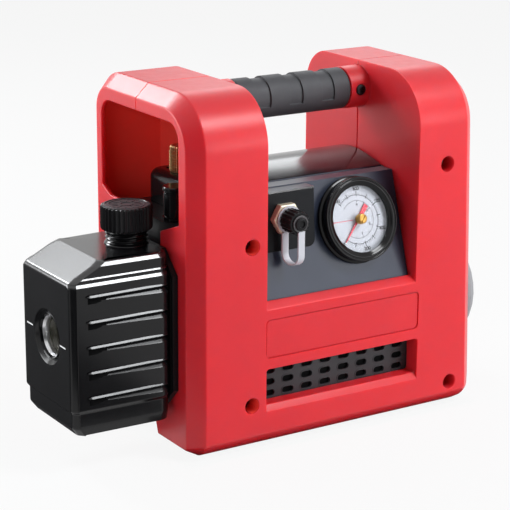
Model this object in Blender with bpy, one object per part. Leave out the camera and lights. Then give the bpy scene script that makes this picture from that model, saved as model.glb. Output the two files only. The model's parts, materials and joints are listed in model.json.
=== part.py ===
"""Two-stage rotary vane vacuum pump with a moulded housing, built from its separate pieces.

Machine frame: X runs from the oil tank to the fan, the front panel faces -Y and +Z is up.
X = 0 is the left end of the housing, Y = 0 its parting plane and Z = 0 its underside.
The "pump" empty moves that frame so that the part stands centred on the origin. Metres.
"""

import math

import bmesh
import bpy
from mathutils import Vector

# Fits and faceting
FIT_GAP = 0.0003
RUNNING_GAP = 0.00015
CUT_MARGIN = 0.002
ROUND_STEPS = 28
SMALL_STEPS = 16
ARC_STEPS = 5
EDGE = 0.002

# Housing
HOUSING_LENGTH = 0.222
HOUSING_HEIGHT = 0.230
FRONT_DEPTH = 0.070
REAR_DEPTH = 0.0625
SHELL_WALL = 0.003
END_BEVEL_RUN = 0.0095
END_BEVEL_INSET = 0.009
BOTTOM_BEVEL = 0.0094
CORNER_ROUND = 0.014
LEFT_END_RISE = 0.005
END_LEAN = 0.033
END_LEAN_LEVEL = 0.105
FRONT_FILLET = 0.035
REAR_FILLET = 0.024
LEFT_TOWER = 0.0542
RIGHT_TOWER = 0.0512
SADDLE_HEIGHT = 0.0962
SADDLE_LIP = 0.0058
SADDLE_LIP_DROP = 0.0045
CHANNEL_HALF = 0.025
CHANNEL_HEIGHT = 0.014
CHANNEL_FALL = 0.006
CHANNEL_SLOPE = 0.003

# Window in the left end, and the clear opening for the pump below it
WINDOW_FRONT = 0.0526
WINDOW_REAR = 0.0467
WINDOW_DROP = 0.017
WINDOW_SILL = 0.1505
WINDOW_ROUND = 0.011
WINDOW_THROAT_FRONT = 0.0295
WINDOW_THROAT_REAR = 0.0150
WINDOW_THROAT_SILL = 0.1418
PUMP_OPENING_MARGIN = 0.0055

# Front face: bare plate, vent window and shell screws
PLATE_LEFT = 0.0565
PLATE_LENGTH = 0.1155
PLATE_BOTTOM = 0.0610
PLATE_HEIGHT = 0.0238
PLATE_SUNK = 0.0008
PLATE_CORNER = 0.006
VENT_LEFT = 0.0542
VENT_LENGTH = 0.1198
VENT_BOTTOM = 0.0275
VENT_HEIGHT = 0.0245
VENT_FRAME = 0.0025
VENT_SILL_DROP = 0.004
SCREW_PLACES = ((0.0431, 0.1343), (0.0435, 0.0296), (0.1943, 0.1693), (0.2021, 0.0162))
SCREW_RECESS_RADIUS = 0.0052
SCREW_RECESS_DEPTH = 0.0125
SCREW_BOSS_RADIUS = 0.0068
SCREW_SHANK_RADIUS = 0.0020
SCREW_HEAD_RADIUS = 0.0045
SCREW_HEAD_HEIGHT = 0.003
SCREW_BITE = 0.016

# Perforated plate behind the vent
GRILLE_THICKNESS = 0.0018
GRILLE_MOTOR_GAP = 0.0029
GRILLE_OVERLAP = 0.0035
GRILLE_COLUMNS = 8
GRILLE_ROWS = 3
GRILLE_PITCH_X = 0.0143
GRILLE_PITCH_Z = 0.0098
GRILLE_FIRST_X = 0.0118
GRILLE_FIRST_Z = 0.0032
SLOT_LENGTH = 0.0088
SLOT_HEIGHT = 0.0044

# Handle
HANDLE_DROP = 0.0176
GRIP_RADIUS = 0.0138
HANDLE_CORE_RADIUS = 0.0085
STUB_RADIUS = 0.0142
STUB_LENGTH = 0.0150
CORE_ANCHOR = 0.006
GRIP_RECESS_COUNT = 3
GRIP_RECESS_PITCH = 0.0249
GRIP_RECESS_WIDTH = 0.0098
GRIP_RECESS_DEPTH = 0.0012
GRIP_RECESS_DROP = 20.0
HANDLE_SCREW_RADIUS = 0.0036
HANDLE_SCREW_SHANK = 0.0017
HANDLE_SCREW_HEIGHT = 0.0018
HANDLE_SCREW_SUNK = 0.0012
HANDLE_SCREW_LENGTH = 0.007

# Black cover between the towers
PANEL_FOOT_Y = 0.0636
PANEL_FOOT_Z = 0.0920
PANEL_TOP_Y = 0.0415
PANEL_TOP_Z = 0.1632
LEDGE_DEPTH = 0.0115
CROWN_HEIGHT = 0.1700
CROWN_Y = 0.004
COVER_BACK_Y = 0.040
COVER_BACK_Z = 0.1605
COVER_WALL = 0.0025
INLET_BLOCK_FACE = 0.0522
INLET_BLOCK_RIGHT = 0.1005
INLET_BLOCK_BOTTOM = 0.1238
INLET_BLOCK_DEPTH = 0.012
PIPE_PORT_WIDTH = 0.034
PIPE_PORT_BOTTOM = 0.120

# Vacuum gauge, measured from the panel along its normal
GAUGE_X = 0.1339
GAUGE_Z = 0.1352
GAUGE_FLANGE_RADIUS = 0.0288
GAUGE_FLANGE_THICKNESS = 0.002
GAUGE_BODY_RADIUS = 0.0245
GAUGE_BODY_DEPTH = 0.020
GAUGE_RIM_RADIUS = 0.0268
GAUGE_RIM_HEIGHT = 0.0062
GAUGE_BORE_RADIUS = 0.0236
DIAL_RADIUS = 0.0232
DIAL_THICKNESS = 0.0008
DIAL_SEAT = 0.0030
LENS_RADIUS = 0.0249
LENS_THICKNESS = 0.0012
BEZEL_RADIUS = 0.0277
BEZEL_OPENING = 0.0222
BEZEL_HEIGHT = 0.0031
POINTER_LENGTH = 0.0185
POINTER_TAIL = 0.0095
POINTER_WIDTH = 0.0024
POINTER_THICKNESS = 0.0006
POINTER_HUB = 0.0030
POINTER_HUB_HEIGHT = 0.0012
POINTER_REST = 228.0

# Suction port
INLET_X = 0.0773
INLET_Z = 0.1453
INLET_HEX_RADIUS = 0.0108
INLET_HEX_LENGTH = 0.0055
INLET_SHANK_RADIUS = 0.0064
INLET_SHANK_LENGTH = 0.0142
INLET_NOSE_RADIUS = 0.0058
INLET_NOSE_LENGTH = 0.0108
INLET_BORE = 0.003
CAP_RADIUS = 0.0079
CAP_LENGTH = 0.0114
CAP_END_WALL = 0.0016
CAP_STUD_RADIUS = 0.0034
CAP_STUD_LENGTH = 0.0027
STRAP_RING_RADIUS = 0.0102
STRAP_END_RADIUS = 0.0060
STRAP_THICKNESS = 0.0010
STRAP_WIDTH = 0.0040
STRAP_DROP = 0.0213
STRAP_START_SHIFT = -0.0028
STRAP_END_SHIFT = 0.0008

# Drive line
DRIVE_Y = -0.017
DRIVE_Z = 0.0685
SHAFT_RADIUS = 0.005
SHAFT_BEARING_OUTER = 0.0130
BEARING_WIDTH = 0.008

# Pump flange
FLANGE_PLATE = 0.010
FLANGE_FACE = 0.0036
FLANGE_TOP = 0.1415
SHELF_THICKNESS = 0.0055
SHELF_LENGTH = 0.043
SHELF_FRONT = 0.040
SHELF_REAR = 0.032
LANTERN_RADIUS = 0.030
LANTERN_WALL = 0.004
LANTERN_END = 0.058
LANTERN_END_WALL = 0.008
MOTOR_SEAT = 0.006

# Oil tank
TANK_FRONT = 0.0735
TANK_NEAR = 0.0520
TANK_FAR = 0.0195
TANK_BOTTOM = 0.0245
TANK_BOTTOM_BEVEL = 0.0055
TANK_SHOULDER = 0.1225
TANK_TOP = 0.1340
TANK_SLOPE_RUN = 0.0225
TANK_SIDE_DRAFT = 0.0032
TANK_CORNER = 0.004
TANK_BAND_TOP = 0.0395
TANK_BAND_INSET = 0.0015
TANK_WALL = 0.0050
FLANGE_FAR = 0.0175
FLANGE_BOTTOM = 0.0280
FLANGE_RIM_TOP = 0.1330
FLANGE_CUT = 0.015
GROOVE_COUNT = 5
GROOVE_TOP = 0.1134
GROOVE_PITCH = 0.0162
GROOVE_HEIGHT = 0.0056
GROOVE_DEPTH = 0.0026
GROOVE_START = 0.0115
GASKET_THICKNESS = 0.0010
NECK_X = -0.0168
NECK_RADIUS = 0.0138
NECK_HEIGHT = 0.0130
NECK_BORE = 0.0090
OIL_CAP_RADIUS = 0.0164
OIL_CAP_LIFT = 0.0094
OIL_CAP_HEIGHT = 0.0156
OIL_CAP_RIBS = 24
OIL_CAP_RIB_DEPTH = 0.0006
OIL_CAP_TOP_WALL = 0.0022
SIGHT_Z = 0.0817
SIGHT_RING_RADIUS = 0.0145
SIGHT_OPENING = 0.0125
SIGHT_SINK_RADIUS = 0.0172
SIGHT_SINK_DEPTH = 0.0020
SIGHT_BARREL = 0.0075
SIGHT_LENS_THICKNESS = 0.0022
SIGHT_LENS_SUNK = 0.0030
DRAIN_X = -0.040
DRAIN_RADIUS = 0.0062
DRAIN_HEAD = 0.0045
DRAIN_SHANK = 0.0042

# Pump stages
STATOR_RADIUS = 0.0270
CHAMBER_RADIUS = 0.0200
ROTOR_RADIUS = 0.0170
ROTOR_CLEARANCE = 0.0002
STAGE1_LENGTH = 0.022
STAGE2_LENGTH = 0.015
MIDDLE_PLATE = 0.005
END_PLATE = 0.006
VANE_THICKNESS = 0.0040
VANE_INNER = 0.0068
VANE_SUNK = 0.0002
SLOT_INNER = 0.0064

# Motor
MOTOR_RADIUS = 0.036
MOTOR_WALL = 0.003
MOTOR_END = 0.196
STACK_START = 0.084
STACK_LENGTH = 0.066
WINDING_LENGTH = 0.010
WINDING_INNER = 0.0225
WINDING_OUTER = 0.0305
MOTOR_ROTOR_RADIUS = 0.0200
AIR_GAP = 0.0006
ROTOR_OVERHANG = 0.002
BELL_THICKNESS = 0.010
BELL_SUNK = 0.006
FAN_START = 0.199
FAN_WIDTH = 0.012
FAN_RADIUS = 0.031
FAN_HUB_RADIUS = 0.010
FAN_BLADES = 7
FAN_BLADE_THICKNESS = 0.0022
COWL_START = 0.188
COWL_END = 0.238
COWL_WALL = 0.0022
COWL_ROUND = 0.010
COWL_SLOTS = 10
COWL_SLOT_WIDTH = 0.004
COWL_SLOT_INNER = 0.010
COWL_SLOT_OUTER = 0.026
COWL_HOLE_GAP = 0.0006
CRADLE_START = 0.090
CRADLE_LENGTH = 0.080
CRADLE_HALF_WIDTH = 0.030
CRADLE_TOP = 0.045
CAPACITOR_X = 0.090
CAPACITOR_LENGTH = 0.060
CAPACITOR_RADIUS = 0.014
CAPACITOR_Y = 0.044

# Valves in the left tower
BLOCK_X = 0.022
BLOCK_LENGTH = 0.024
BLOCK_FRONT = 0.026
BLOCK_REAR = 0.028
BLOCK_HEIGHT = 0.0217
BLOCK_ROUND = 0.009
KNOB_X = 0.034
KNOB_Y = 0.0026
KNOB_RADIUS = 0.0075
KNOB_HEIGHT = 0.0175
KNOB_STEM_RADIUS = 0.0040
KNOB_STEM_LENGTH = 0.010
COIL_X = 0.0126
COIL_Y = -0.0272
COIL_RADIUS = 0.0082
COIL_HEIGHT = 0.0215
COIL_BORE = 0.0044
COIL_CAP = 0.005
PLUNGER_RADIUS = 0.0041
PLUNGER_TRAVEL = 0.003
PLUNGER_TOP_GAP = 0.0008
PIPE_RADIUS = 0.004
PIPE_Y = -0.005
PIPE_Z = 0.156

# Mains inlet and switch on the right end
SOCKET_Z = 0.135
SOCKET_WIDTH = 0.028
SOCKET_HEIGHT = 0.021
SOCKET_FLANGE = 0.004
SOCKET_FLANGE_THICKNESS = 0.002
SOCKET_DEPTH = 0.016
SOCKET_WELL_WALL = 0.002
SOCKET_WELL_DEPTH = 0.014
SOCKET_PIN_WIDTH = 0.002
SWITCH_Z = 0.176
SWITCH_WIDTH = 0.015
SWITCH_HEIGHT = 0.022
SWITCH_WALL = 0.0016
SWITCH_DEPTH = 0.012
SWITCH_PIVOT_DEPTH = 0.003
ROCKER_CLEARANCE = 0.0012
ROCKER_RISE = 0.0022
ROCKER_TILT = 9.0
ROCKER_KEEL = 0.007

# Feet
FOOT_RADIUS = 0.008
FOOT_HEIGHT = 0.002
FOOT_LEFT = 0.028
FOOT_RIGHT = 0.192
FOOT_FRONT = 0.042
FOOT_REAR = 0.036

# Derived places that several pieces share
GAP_END = HOUSING_LENGTH - RIGHT_TOWER
INLET_FACE_Y = -INLET_BLOCK_FACE - FIT_GAP
HEX_END_Y = INLET_FACE_Y - INLET_HEX_LENGTH
STRAP_Y = HEX_END_Y - FIT_GAP - STRAP_THICKNESS
CAP_START_Y = STRAP_Y - FIT_GAP
CAP_END_Y = CAP_START_Y - CAP_LENGTH
INLET_TIP_Y = CAP_END_Y - CAP_STUD_LENGTH
FLANGE_LEFT = -FIT_GAP - FLANGE_FACE
GASKET_RIGHT = FLANGE_LEFT - FIT_GAP
TANK_REAR = GASKET_RIGHT - GASKET_THICKNESS - FIT_GAP
STAGE1_RIGHT = FLANGE_LEFT - FIT_GAP
MIDDLE_RIGHT = STAGE1_RIGHT - STAGE1_LENGTH - FIT_GAP
STAGE2_RIGHT = MIDDLE_RIGHT - MIDDLE_PLATE - FIT_GAP
END_PLATE_RIGHT = STAGE2_RIGHT - STAGE2_LENGTH - FIT_GAP
SHAFT_START = END_PLATE_RIGHT - END_PLATE / 2
SHAFT_END = FAN_START + FAN_WIDTH
ECCENTRICITY = CHAMBER_RADIUS - ROTOR_RADIUS - ROTOR_CLEARANCE
COWL_RADIUS = MOTOR_RADIUS + FIT_GAP + COWL_WALL
SHELF_TOP = FLANGE_TOP + SHELF_THICKNESS
FLANGE_INNER = SHELL_WALL + FIT_GAP
PANEL_LEAN = math.atan2(PANEL_FOOT_Y - PANEL_TOP_Y, PANEL_TOP_Z - PANEL_FOOT_Z)
WINDOW_TOP = HOUSING_HEIGHT - WINDOW_DROP
HANDLE_HEIGHT = HOUSING_HEIGHT - HANDLE_DROP
GRILLE_FRONT = DRIVE_Y - MOTOR_RADIUS - GRILLE_MOTOR_GAP - GRILLE_THICKNESS
VENT_TUNNEL = FRONT_DEPTH + GRILLE_FRONT - FIT_GAP
FOOT_BOTTOM = -FIT_GAP - FOOT_HEIGHT
DRIVE_CENTRE = (0.0, DRIVE_Y, DRIVE_Z)

FRONT = -1
REAR = 1
SIDE_DEPTH = {FRONT: FRONT_DEPTH, REAR: REAR_DEPTH}
SIDE_FILLET = {FRONT: FRONT_FILLET, REAR: REAR_FILLET}


def clear_scene():
    for old in list(bpy.data.objects):
        bpy.data.objects.remove(old, do_unlink=True)


def material(name, colour, roughness, metallic=0.0):
    made = bpy.data.materials.new(name)
    made.use_nodes = True
    shader = made.node_tree.nodes["Principled BSDF"]
    shader.inputs["Base Color"].default_value = (*colour, 1.0)
    shader.inputs["Roughness"].default_value = roughness
    shader.inputs["Metallic"].default_value = metallic
    return made


def empty(name, location, parent=None, rotation=(0.0, 0.0, 0.0)):
    made = bpy.data.objects.new(name, None)
    made.location = location
    made.rotation_euler = rotation
    made.parent = parent
    bpy.context.scene.collection.objects.link(made)
    return made


def place(axis, along, flat):
    """A point of the plane across an axis, given as the plane's two coordinates in X, Y, Z order."""
    point = list(flat)
    point.insert("xyz".index(axis), along)
    return Vector(point)


def add_loft(shape, loops):
    rings = [[shape.verts.new(point) for point in loop] for loop in loops]
    for first, second in zip(rings, rings[1:]):
        for i in range(len(first)):
            j = (i + 1) % len(first)
            shape.faces.new((first[i], first[j], second[j], second[i]))
    shape.faces.new(rings[0])
    shape.faces.new(rings[-1])


def add_prism(shape, outline, axis, start, end):
    add_loft(shape, [[place(axis, along, flat) for flat in outline] for along in (start, end)])


def add_box(shape, low, high):
    outline = [(low[0], low[1]), (high[0], low[1]), (high[0], high[1]), (low[0], high[1])]
    add_prism(shape, outline, "z", low[2], high[2])


def add_turned(shape, profile, axis, centre=(0.0, 0.0, 0.0), steps=ROUND_STEPS, ring=False):
    """Turns (radius, along) points about an axis; a ring's profile closes on itself."""
    index = "xyz".index(axis)
    across = [value for i, value in enumerate(centre) if i != index]
    rings = []
    for radius, along in profile:
        count = steps if radius > 0.0 else 1
        points = []
        for k in range(count):
            turn = math.tau * k / steps
            flat = (across[0] + radius * math.cos(turn), across[1] + radius * math.sin(turn))
            points.append(shape.verts.new(place(axis, along + centre[index], flat)))
        rings.append(points)
    pairs = list(zip(rings, rings[1:]))
    if ring:
        pairs.append((rings[-1], rings[0]))
    for first, second in pairs:
        for k in range(steps):
            corners = (first[k % len(first)], first[(k + 1) % len(first)])
            corners += (second[(k + 1) % len(second)], second[k % len(second)])
            corners = list(dict.fromkeys(corners))
            if len(corners) > 2:
                shape.faces.new(corners)
    if not ring:
        for end in (rings[0], rings[-1]):
            if len(end) > 1:
                shape.faces.new(end)


def tube_profile(inner, outer, start, end):
    return [(inner, start), (outer, start), (outer, end), (inner, end)]


def disc_profile(radius, start, end):
    return [(0.0, start), (radius, start), (radius, end), (0.0, end)]


def arc(centre, radius, first, last, steps=ARC_STEPS):
    """Points from one angle to another, in degrees, both ends included."""
    points = []
    for k in range(steps + 1):
        turn = math.radians(first + (last - first) * k / steps)
        points.append((centre[0] + radius * math.cos(turn), centre[1] + radius * math.sin(turn)))
    return points


def rounded_rectangle(low, high, radius, steps=3):
    points = []
    corners = ((high[0], high[1], 0), (low[0], high[1], 90))
    corners += ((low[0], low[1], 180), (high[0], low[1], 270))
    for u, v, first in corners:
        centre = (u - math.copysign(radius, u - (low[0] + high[0]) / 2),
                  v - math.copysign(radius, v - (low[1] + high[1]) / 2))
        points += arc(centre, radius, first, first + 90, steps)
    return points


def cut_corners(low, high, cut):
    """A rectangle with its four corners cut off at 45 degrees."""
    bottom = [(low[0] + cut, low[1]), (high[0] - cut, low[1])]
    right = [(high[0], low[1] + cut), (high[0], high[1] - cut)]
    top = [(high[0] - cut, high[1]), (low[0] + cut, high[1])]
    left = [(low[0], high[1] - cut), (low[0], low[1] + cut)]
    return bottom + right + top + left


def make_object(name, shape, parent, pivot=(0.0, 0.0, 0.0)):
    """Turns a bmesh drawn in its parent's frame into an object whose origin is the pivot."""
    bmesh.ops.translate(shape, verts=shape.verts, vec=-Vector(pivot))
    bmesh.ops.recalc_face_normals(shape, faces=shape.faces)
    mesh = bpy.data.meshes.new(name)
    shape.to_mesh(mesh)
    shape.free()
    made = bpy.data.objects.new(name, mesh)
    made.location = pivot
    made.parent = parent
    bpy.context.scene.collection.objects.link(made)
    return made


def solid(name, shape, finish, parent, pivot=(0.0, 0.0, 0.0)):
    made = make_object(name, shape, parent, pivot)
    made.data.materials.append(finish)
    made.data.shade_smooth()
    made.data.set_sharp_from_angle(angle=math.radians(35))
    return made


def combine(target, name, shape, operation, parent):
    """Cuts a helper shape from the target, or joins it on."""
    helper = make_object(name, shape, parent)
    helper.hide_render = True
    helper.display_type = "WIRE"
    step = target.modifiers.new(name, "BOOLEAN")
    step.object = helper
    step.operation = operation
    step.solver = "EXACT"


def cut(target, name, shape, parent):
    combine(target, name, shape, "DIFFERENCE", parent)


def fuse(target, name, shape, parent):
    combine(target, name, shape, "UNION", parent)


# Housing shells


def channel_level(x):
    """Height of the channel under the base, which runs lower towards the right end's screw."""
    return CHANNEL_HEIGHT - CHANNEL_FALL * x / HOUSING_LENGTH


def half_profile(side, inset, low, channel, height, fillet, wall=0.0, parting=FIT_GAP / 2):
    """(y, z) outline of one shell half, drawn in from the outside by an inset, above a lowest level."""
    reach = SIDE_DEPTH[side] - inset
    rest = max(BOTTOM_BEVEL - inset, EDGE)
    channel_top = max(channel + wall, low + EDGE)
    channel_edge = CHANNEL_HALF + wall
    turn = max(fillet - inset, EDGE)
    points = [(parting, channel_top), (channel_edge - CHANNEL_SLOPE, channel_top), (channel_edge, low)]
    points += [(reach - rest, low), (reach, low + rest)]
    points += arc((reach - turn, height - inset - turn), turn, 0, 90)
    points.append((parting, height - inset))
    return [(side * y, z) for y, z in points]


def shell_loft(side, stations, height, fillet, wall=0.0, parting=FIT_GAP / 2):
    """A shell half lofted along X through (x, inset, lowest level) stations; its right end leans."""
    shape = bmesh.new()
    loops = []
    lean_start = HOUSING_LENGTH - END_BEVEL_RUN - CORNER_ROUND
    for x, inset, low in stations:
        share = min(max((x - lean_start) / CORNER_ROUND, 0.0), 1.0)
        outline = half_profile(side, inset, low, channel_level(x), height, fillet, wall, parting)
        loops.append([place("x", x + share * end_lean(flat[1]), flat) for flat in outline])
    add_loft(shape, loops)
    return shape


def end_lean(z):
    """How far the right end stands out at a height, as it is wider at the bottom."""
    return END_LEAN * (END_LEAN_LEVEL - z)


def corner_rise(x):
    """Height of the underside where it curves up to the right end."""
    over = max(x - HOUSING_LENGTH + CORNER_ROUND, 0.0)
    return CORNER_ROUND - math.sqrt(CORNER_ROUND**2 - over**2)


def outer_stations():
    stations = [(0.0, END_BEVEL_INSET, LEFT_END_RISE), (END_BEVEL_RUN, 0.0, 0.0)]
    bevel_start = HOUSING_LENGTH - END_BEVEL_RUN
    stations += [(bevel_start - CORNER_ROUND, 0.0, 0.0), (HOUSING_LENGTH - CORNER_ROUND, 0.0, 0.0)]
    for k in range(ARC_STEPS + 1):
        x = bevel_start + END_BEVEL_RUN * math.sin(math.radians(90.0 * k / ARC_STEPS))
        stations.append((x, (x - bevel_start) / END_BEVEL_RUN * END_BEVEL_INSET, corner_rise(x)))
    return stations


def bevel_offsets():
    """Where the hollow's end bevel starts and ends, so that the wall keeps its thickness there."""
    grow = 1.0 + SHELL_WALL * math.hypot(1.0 / END_BEVEL_RUN, 1.0 / END_BEVEL_INSET)
    inset = END_BEVEL_INSET * (grow - SHELL_WALL / END_BEVEL_RUN)
    run = END_BEVEL_RUN * (grow - SHELL_WALL / END_BEVEL_INSET)
    return inset, run


def hollow_stations(start, end):
    """Stations of a hollow between two places along X, following the end bevels it reaches."""
    inset, run = bevel_offsets()
    low = SHELL_WALL
    stations = [(start, SHELL_WALL, low)]
    if start <= SHELL_WALL:
        stations = [(SHELL_WALL, inset, low + LEFT_END_RISE), (run, SHELL_WALL, low)]
    if end < HOUSING_LENGTH - SHELL_WALL:
        return stations + [(end, SHELL_WALL, low)]
    bevel_start = HOUSING_LENGTH - run
    stations.append((bevel_start - CORNER_ROUND, SHELL_WALL, low))
    stations.append((bevel_start, SHELL_WALL, low + corner_rise(bevel_start + SHELL_WALL)))
    return stations + [(HOUSING_LENGTH - SHELL_WALL, inset, low + CORNER_ROUND)]


def window_outline():
    """(y, z) outline of the left end's window with the pump's opening below it."""
    front = -WINDOW_FRONT + WINDOW_ROUND
    rear = WINDOW_REAR - WINDOW_ROUND
    opening_low, opening_high = pump_opening()
    points = arc((front, WINDOW_TOP - WINDOW_ROUND), WINDOW_ROUND, 180, 90)
    points += arc((rear, WINDOW_TOP - WINDOW_ROUND), WINDOW_ROUND, 90, 0)
    points += [(WINDOW_REAR, WINDOW_SILL + WINDOW_ROUND / 2), (rear, WINDOW_SILL)]
    points += [(WINDOW_THROAT_REAR, WINDOW_SILL), (WINDOW_THROAT_REAR, opening_high[1])]
    points += [(opening_high[0], opening_high[1]), (opening_high[0], opening_low[1])]
    points += [(opening_low[0], opening_low[1]), (opening_low[0], opening_high[1])]
    points += [(-WINDOW_THROAT_FRONT, opening_high[1]), (-WINDOW_THROAT_FRONT, WINDOW_THROAT_SILL)]
    points.append((-WINDOW_FRONT, WINDOW_SILL))
    return points


def pump_opening():
    margin = PUMP_OPENING_MARGIN
    low = (-TANK_NEAR + margin, FLANGE_BOTTOM + FLANGE_CUT)
    high = (FLANGE_FAR - margin, FLANGE_RIM_TOP - FLANGE_CUT)
    return low, high


def half_disc(side, radius):
    """(y, z) outline of the half of the handle stub that belongs to one shell."""
    middle = (0.0, HANDLE_HEIGHT)
    points = arc(middle, radius, -90, 90, 2 * ARC_STEPS)
    return [(side * max(y, FIT_GAP / 2), z) for y, z in points]


def shell(side, finish, pump):
    name = "front_shell" if side == FRONT else "rear_shell"
    depth = SIDE_DEPTH[side]
    fillet = SIDE_FILLET[side]
    body = solid(name, shell_loft(side, outer_stations(), HOUSING_HEIGHT, fillet), finish, pump)
    hollows = {"left_tower": (SHELL_WALL, LEFT_TOWER - SHELL_WALL, HOUSING_HEIGHT, fillet),
               "right_tower": (GAP_END + SHELL_WALL, HOUSING_LENGTH, HOUSING_HEIGHT, fillet),
               "base": (SHELL_WALL, HOUSING_LENGTH, SADDLE_HEIGHT + SHELL_WALL + EDGE, EDGE)}
    for part, (start, end, height, turn) in hollows.items():
        hollow = shell_loft(side, hollow_stations(start, end), height, turn, SHELL_WALL, -CUT_MARGIN)
        cut(body, f"{name}_{part}_hollow", hollow, pump)

    passage = bmesh.new()
    ends = (LEFT_TOWER - SHELL_WALL - CUT_MARGIN, GAP_END + SHELL_WALL + CUT_MARGIN)
    add_turned(passage, disc_profile(MOTOR_RADIUS + 2 * FIT_GAP, *ends), "x", DRIVE_CENTRE)
    cut(body, f"{name}_motor_passage", passage, pump)
    gap = bmesh.new()
    reach = max(FRONT_DEPTH, REAR_DEPTH) + CUT_MARGIN
    add_box(gap, (LEFT_TOWER, -reach, SADDLE_HEIGHT), (GAP_END, reach, HOUSING_HEIGHT + CUT_MARGIN))
    cut(body, f"{name}_gap", gap, pump)

    add_saddle_lip(body, name, side, depth, pump)
    add_handle_stubs(body, name, side, pump)
    cut_ends(body, name, pump)
    if side == FRONT:
        add_front_features(body, name, pump)
    add_screw_bosses(body, name, side, depth, pump)


def add_saddle_lip(body, name, side, depth, pump):
    """The thick sloping lip that the cover's panel stands behind."""
    lip = bmesh.new()
    inner = depth - SADDLE_LIP
    outer = depth - SHELL_WALL / 2
    bottom = SADDLE_HEIGHT - 2 * SADDLE_LIP_DROP
    outline = [(side * inner, bottom + SADDLE_LIP_DROP), (side * outer, bottom),
               (side * outer, SADDLE_HEIGHT), (side * inner, SADDLE_HEIGHT)]
    add_prism(lip, outline, "x", LEFT_TOWER - SHELL_WALL / 2, GAP_END + SHELL_WALL / 2)
    fuse(body, f"{name}_lip", lip, pump)
    slope = bmesh.new()
    high = SADDLE_HEIGHT + CUT_MARGIN
    outline = [(side * depth, SADDLE_HEIGHT - SADDLE_LIP_DROP), (side * inner, SADDLE_HEIGHT),
               (side * inner, high), (side * (depth + CUT_MARGIN), high),
               (side * (depth + CUT_MARGIN), SADDLE_HEIGHT - SADDLE_LIP_DROP)]
    add_prism(slope, outline, "x", LEFT_TOWER, GAP_END)
    cut(body, f"{name}_lip_slope", slope, pump)


def add_handle_stubs(body, name, side, pump):
    """Half collars that the handle's core is clamped in."""
    bore = bmesh.new()
    ends = ((LEFT_TOWER - SHELL_WALL / 2, LEFT_TOWER + STUB_LENGTH),
            (GAP_END + SHELL_WALL / 2, GAP_END - STUB_LENGTH))
    for number, (root, tip) in enumerate(ends):
        stub = bmesh.new()
        add_prism(stub, half_disc(side, STUB_RADIUS), "x", root, tip)
        fuse(body, f"{name}_stub_{number}", stub, pump)
    reach = (LEFT_TOWER - 2 * SHELL_WALL, GAP_END + 2 * SHELL_WALL)
    profile = disc_profile(HANDLE_CORE_RADIUS + FIT_GAP, *reach)
    add_turned(bore, profile, "x", (0.0, 0.0, HANDLE_HEIGHT), SMALL_STEPS)
    cut(body, f"{name}_core_bore", bore, pump)
    if side == FRONT:
        holes = bmesh.new()
        for x in handle_screw_places():
            seat = -STUB_RADIUS + HANDLE_SCREW_SUNK
            outer = -STUB_RADIUS - CUT_MARGIN
            head = HANDLE_SCREW_RADIUS + FIT_GAP
            shank = HANDLE_SCREW_SHANK + FIT_GAP
            profile = [(0.0, outer), (head, outer), (head, seat), (shank, seat), (shank, 0.0), (0.0, 0.0)]
            add_turned(holes, profile, "y", (x, 0.0, HANDLE_HEIGHT), SMALL_STEPS)
        cut(body, f"{name}_handle_screw_holes", holes, pump)


def handle_screw_places():
    return (LEFT_TOWER + STUB_LENGTH / 2, GAP_END - STUB_LENGTH / 2)


def add_screw_bosses(body, name, side, depth, pump):
    """Columns that the shell screws pull together, bored for their heads and shanks."""
    bores = bmesh.new()
    for number, (x, z) in enumerate(SCREW_PLACES):
        boss = bmesh.new()
        ends = (side * FIT_GAP, side * (depth - SHELL_WALL / 2))
        add_turned(boss, disc_profile(SCREW_BOSS_RADIUS, *ends), "y", (x, 0.0, z), SMALL_STEPS)
        fuse(body, f"{name}_boss_{number}", boss, pump)
        shank = SCREW_SHANK_RADIUS + FIT_GAP
        if side == FRONT:
            seat = -FRONT_DEPTH + SCREW_RECESS_DEPTH
            outer = -FRONT_DEPTH - CUT_MARGIN
            profile = [(0.0, outer), (SCREW_RECESS_RADIUS, outer), (SCREW_RECESS_RADIUS, seat),
                       (shank, seat), (shank, CUT_MARGIN), (0.0, CUT_MARGIN)]
        else:
            profile = disc_profile(shank, -CUT_MARGIN, SCREW_BITE + CUT_MARGIN)
        add_turned(bores, profile, "y", (x, 0.0, z), SMALL_STEPS)
    cut(body, f"{name}_screw_bores", bores, pump)


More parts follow.
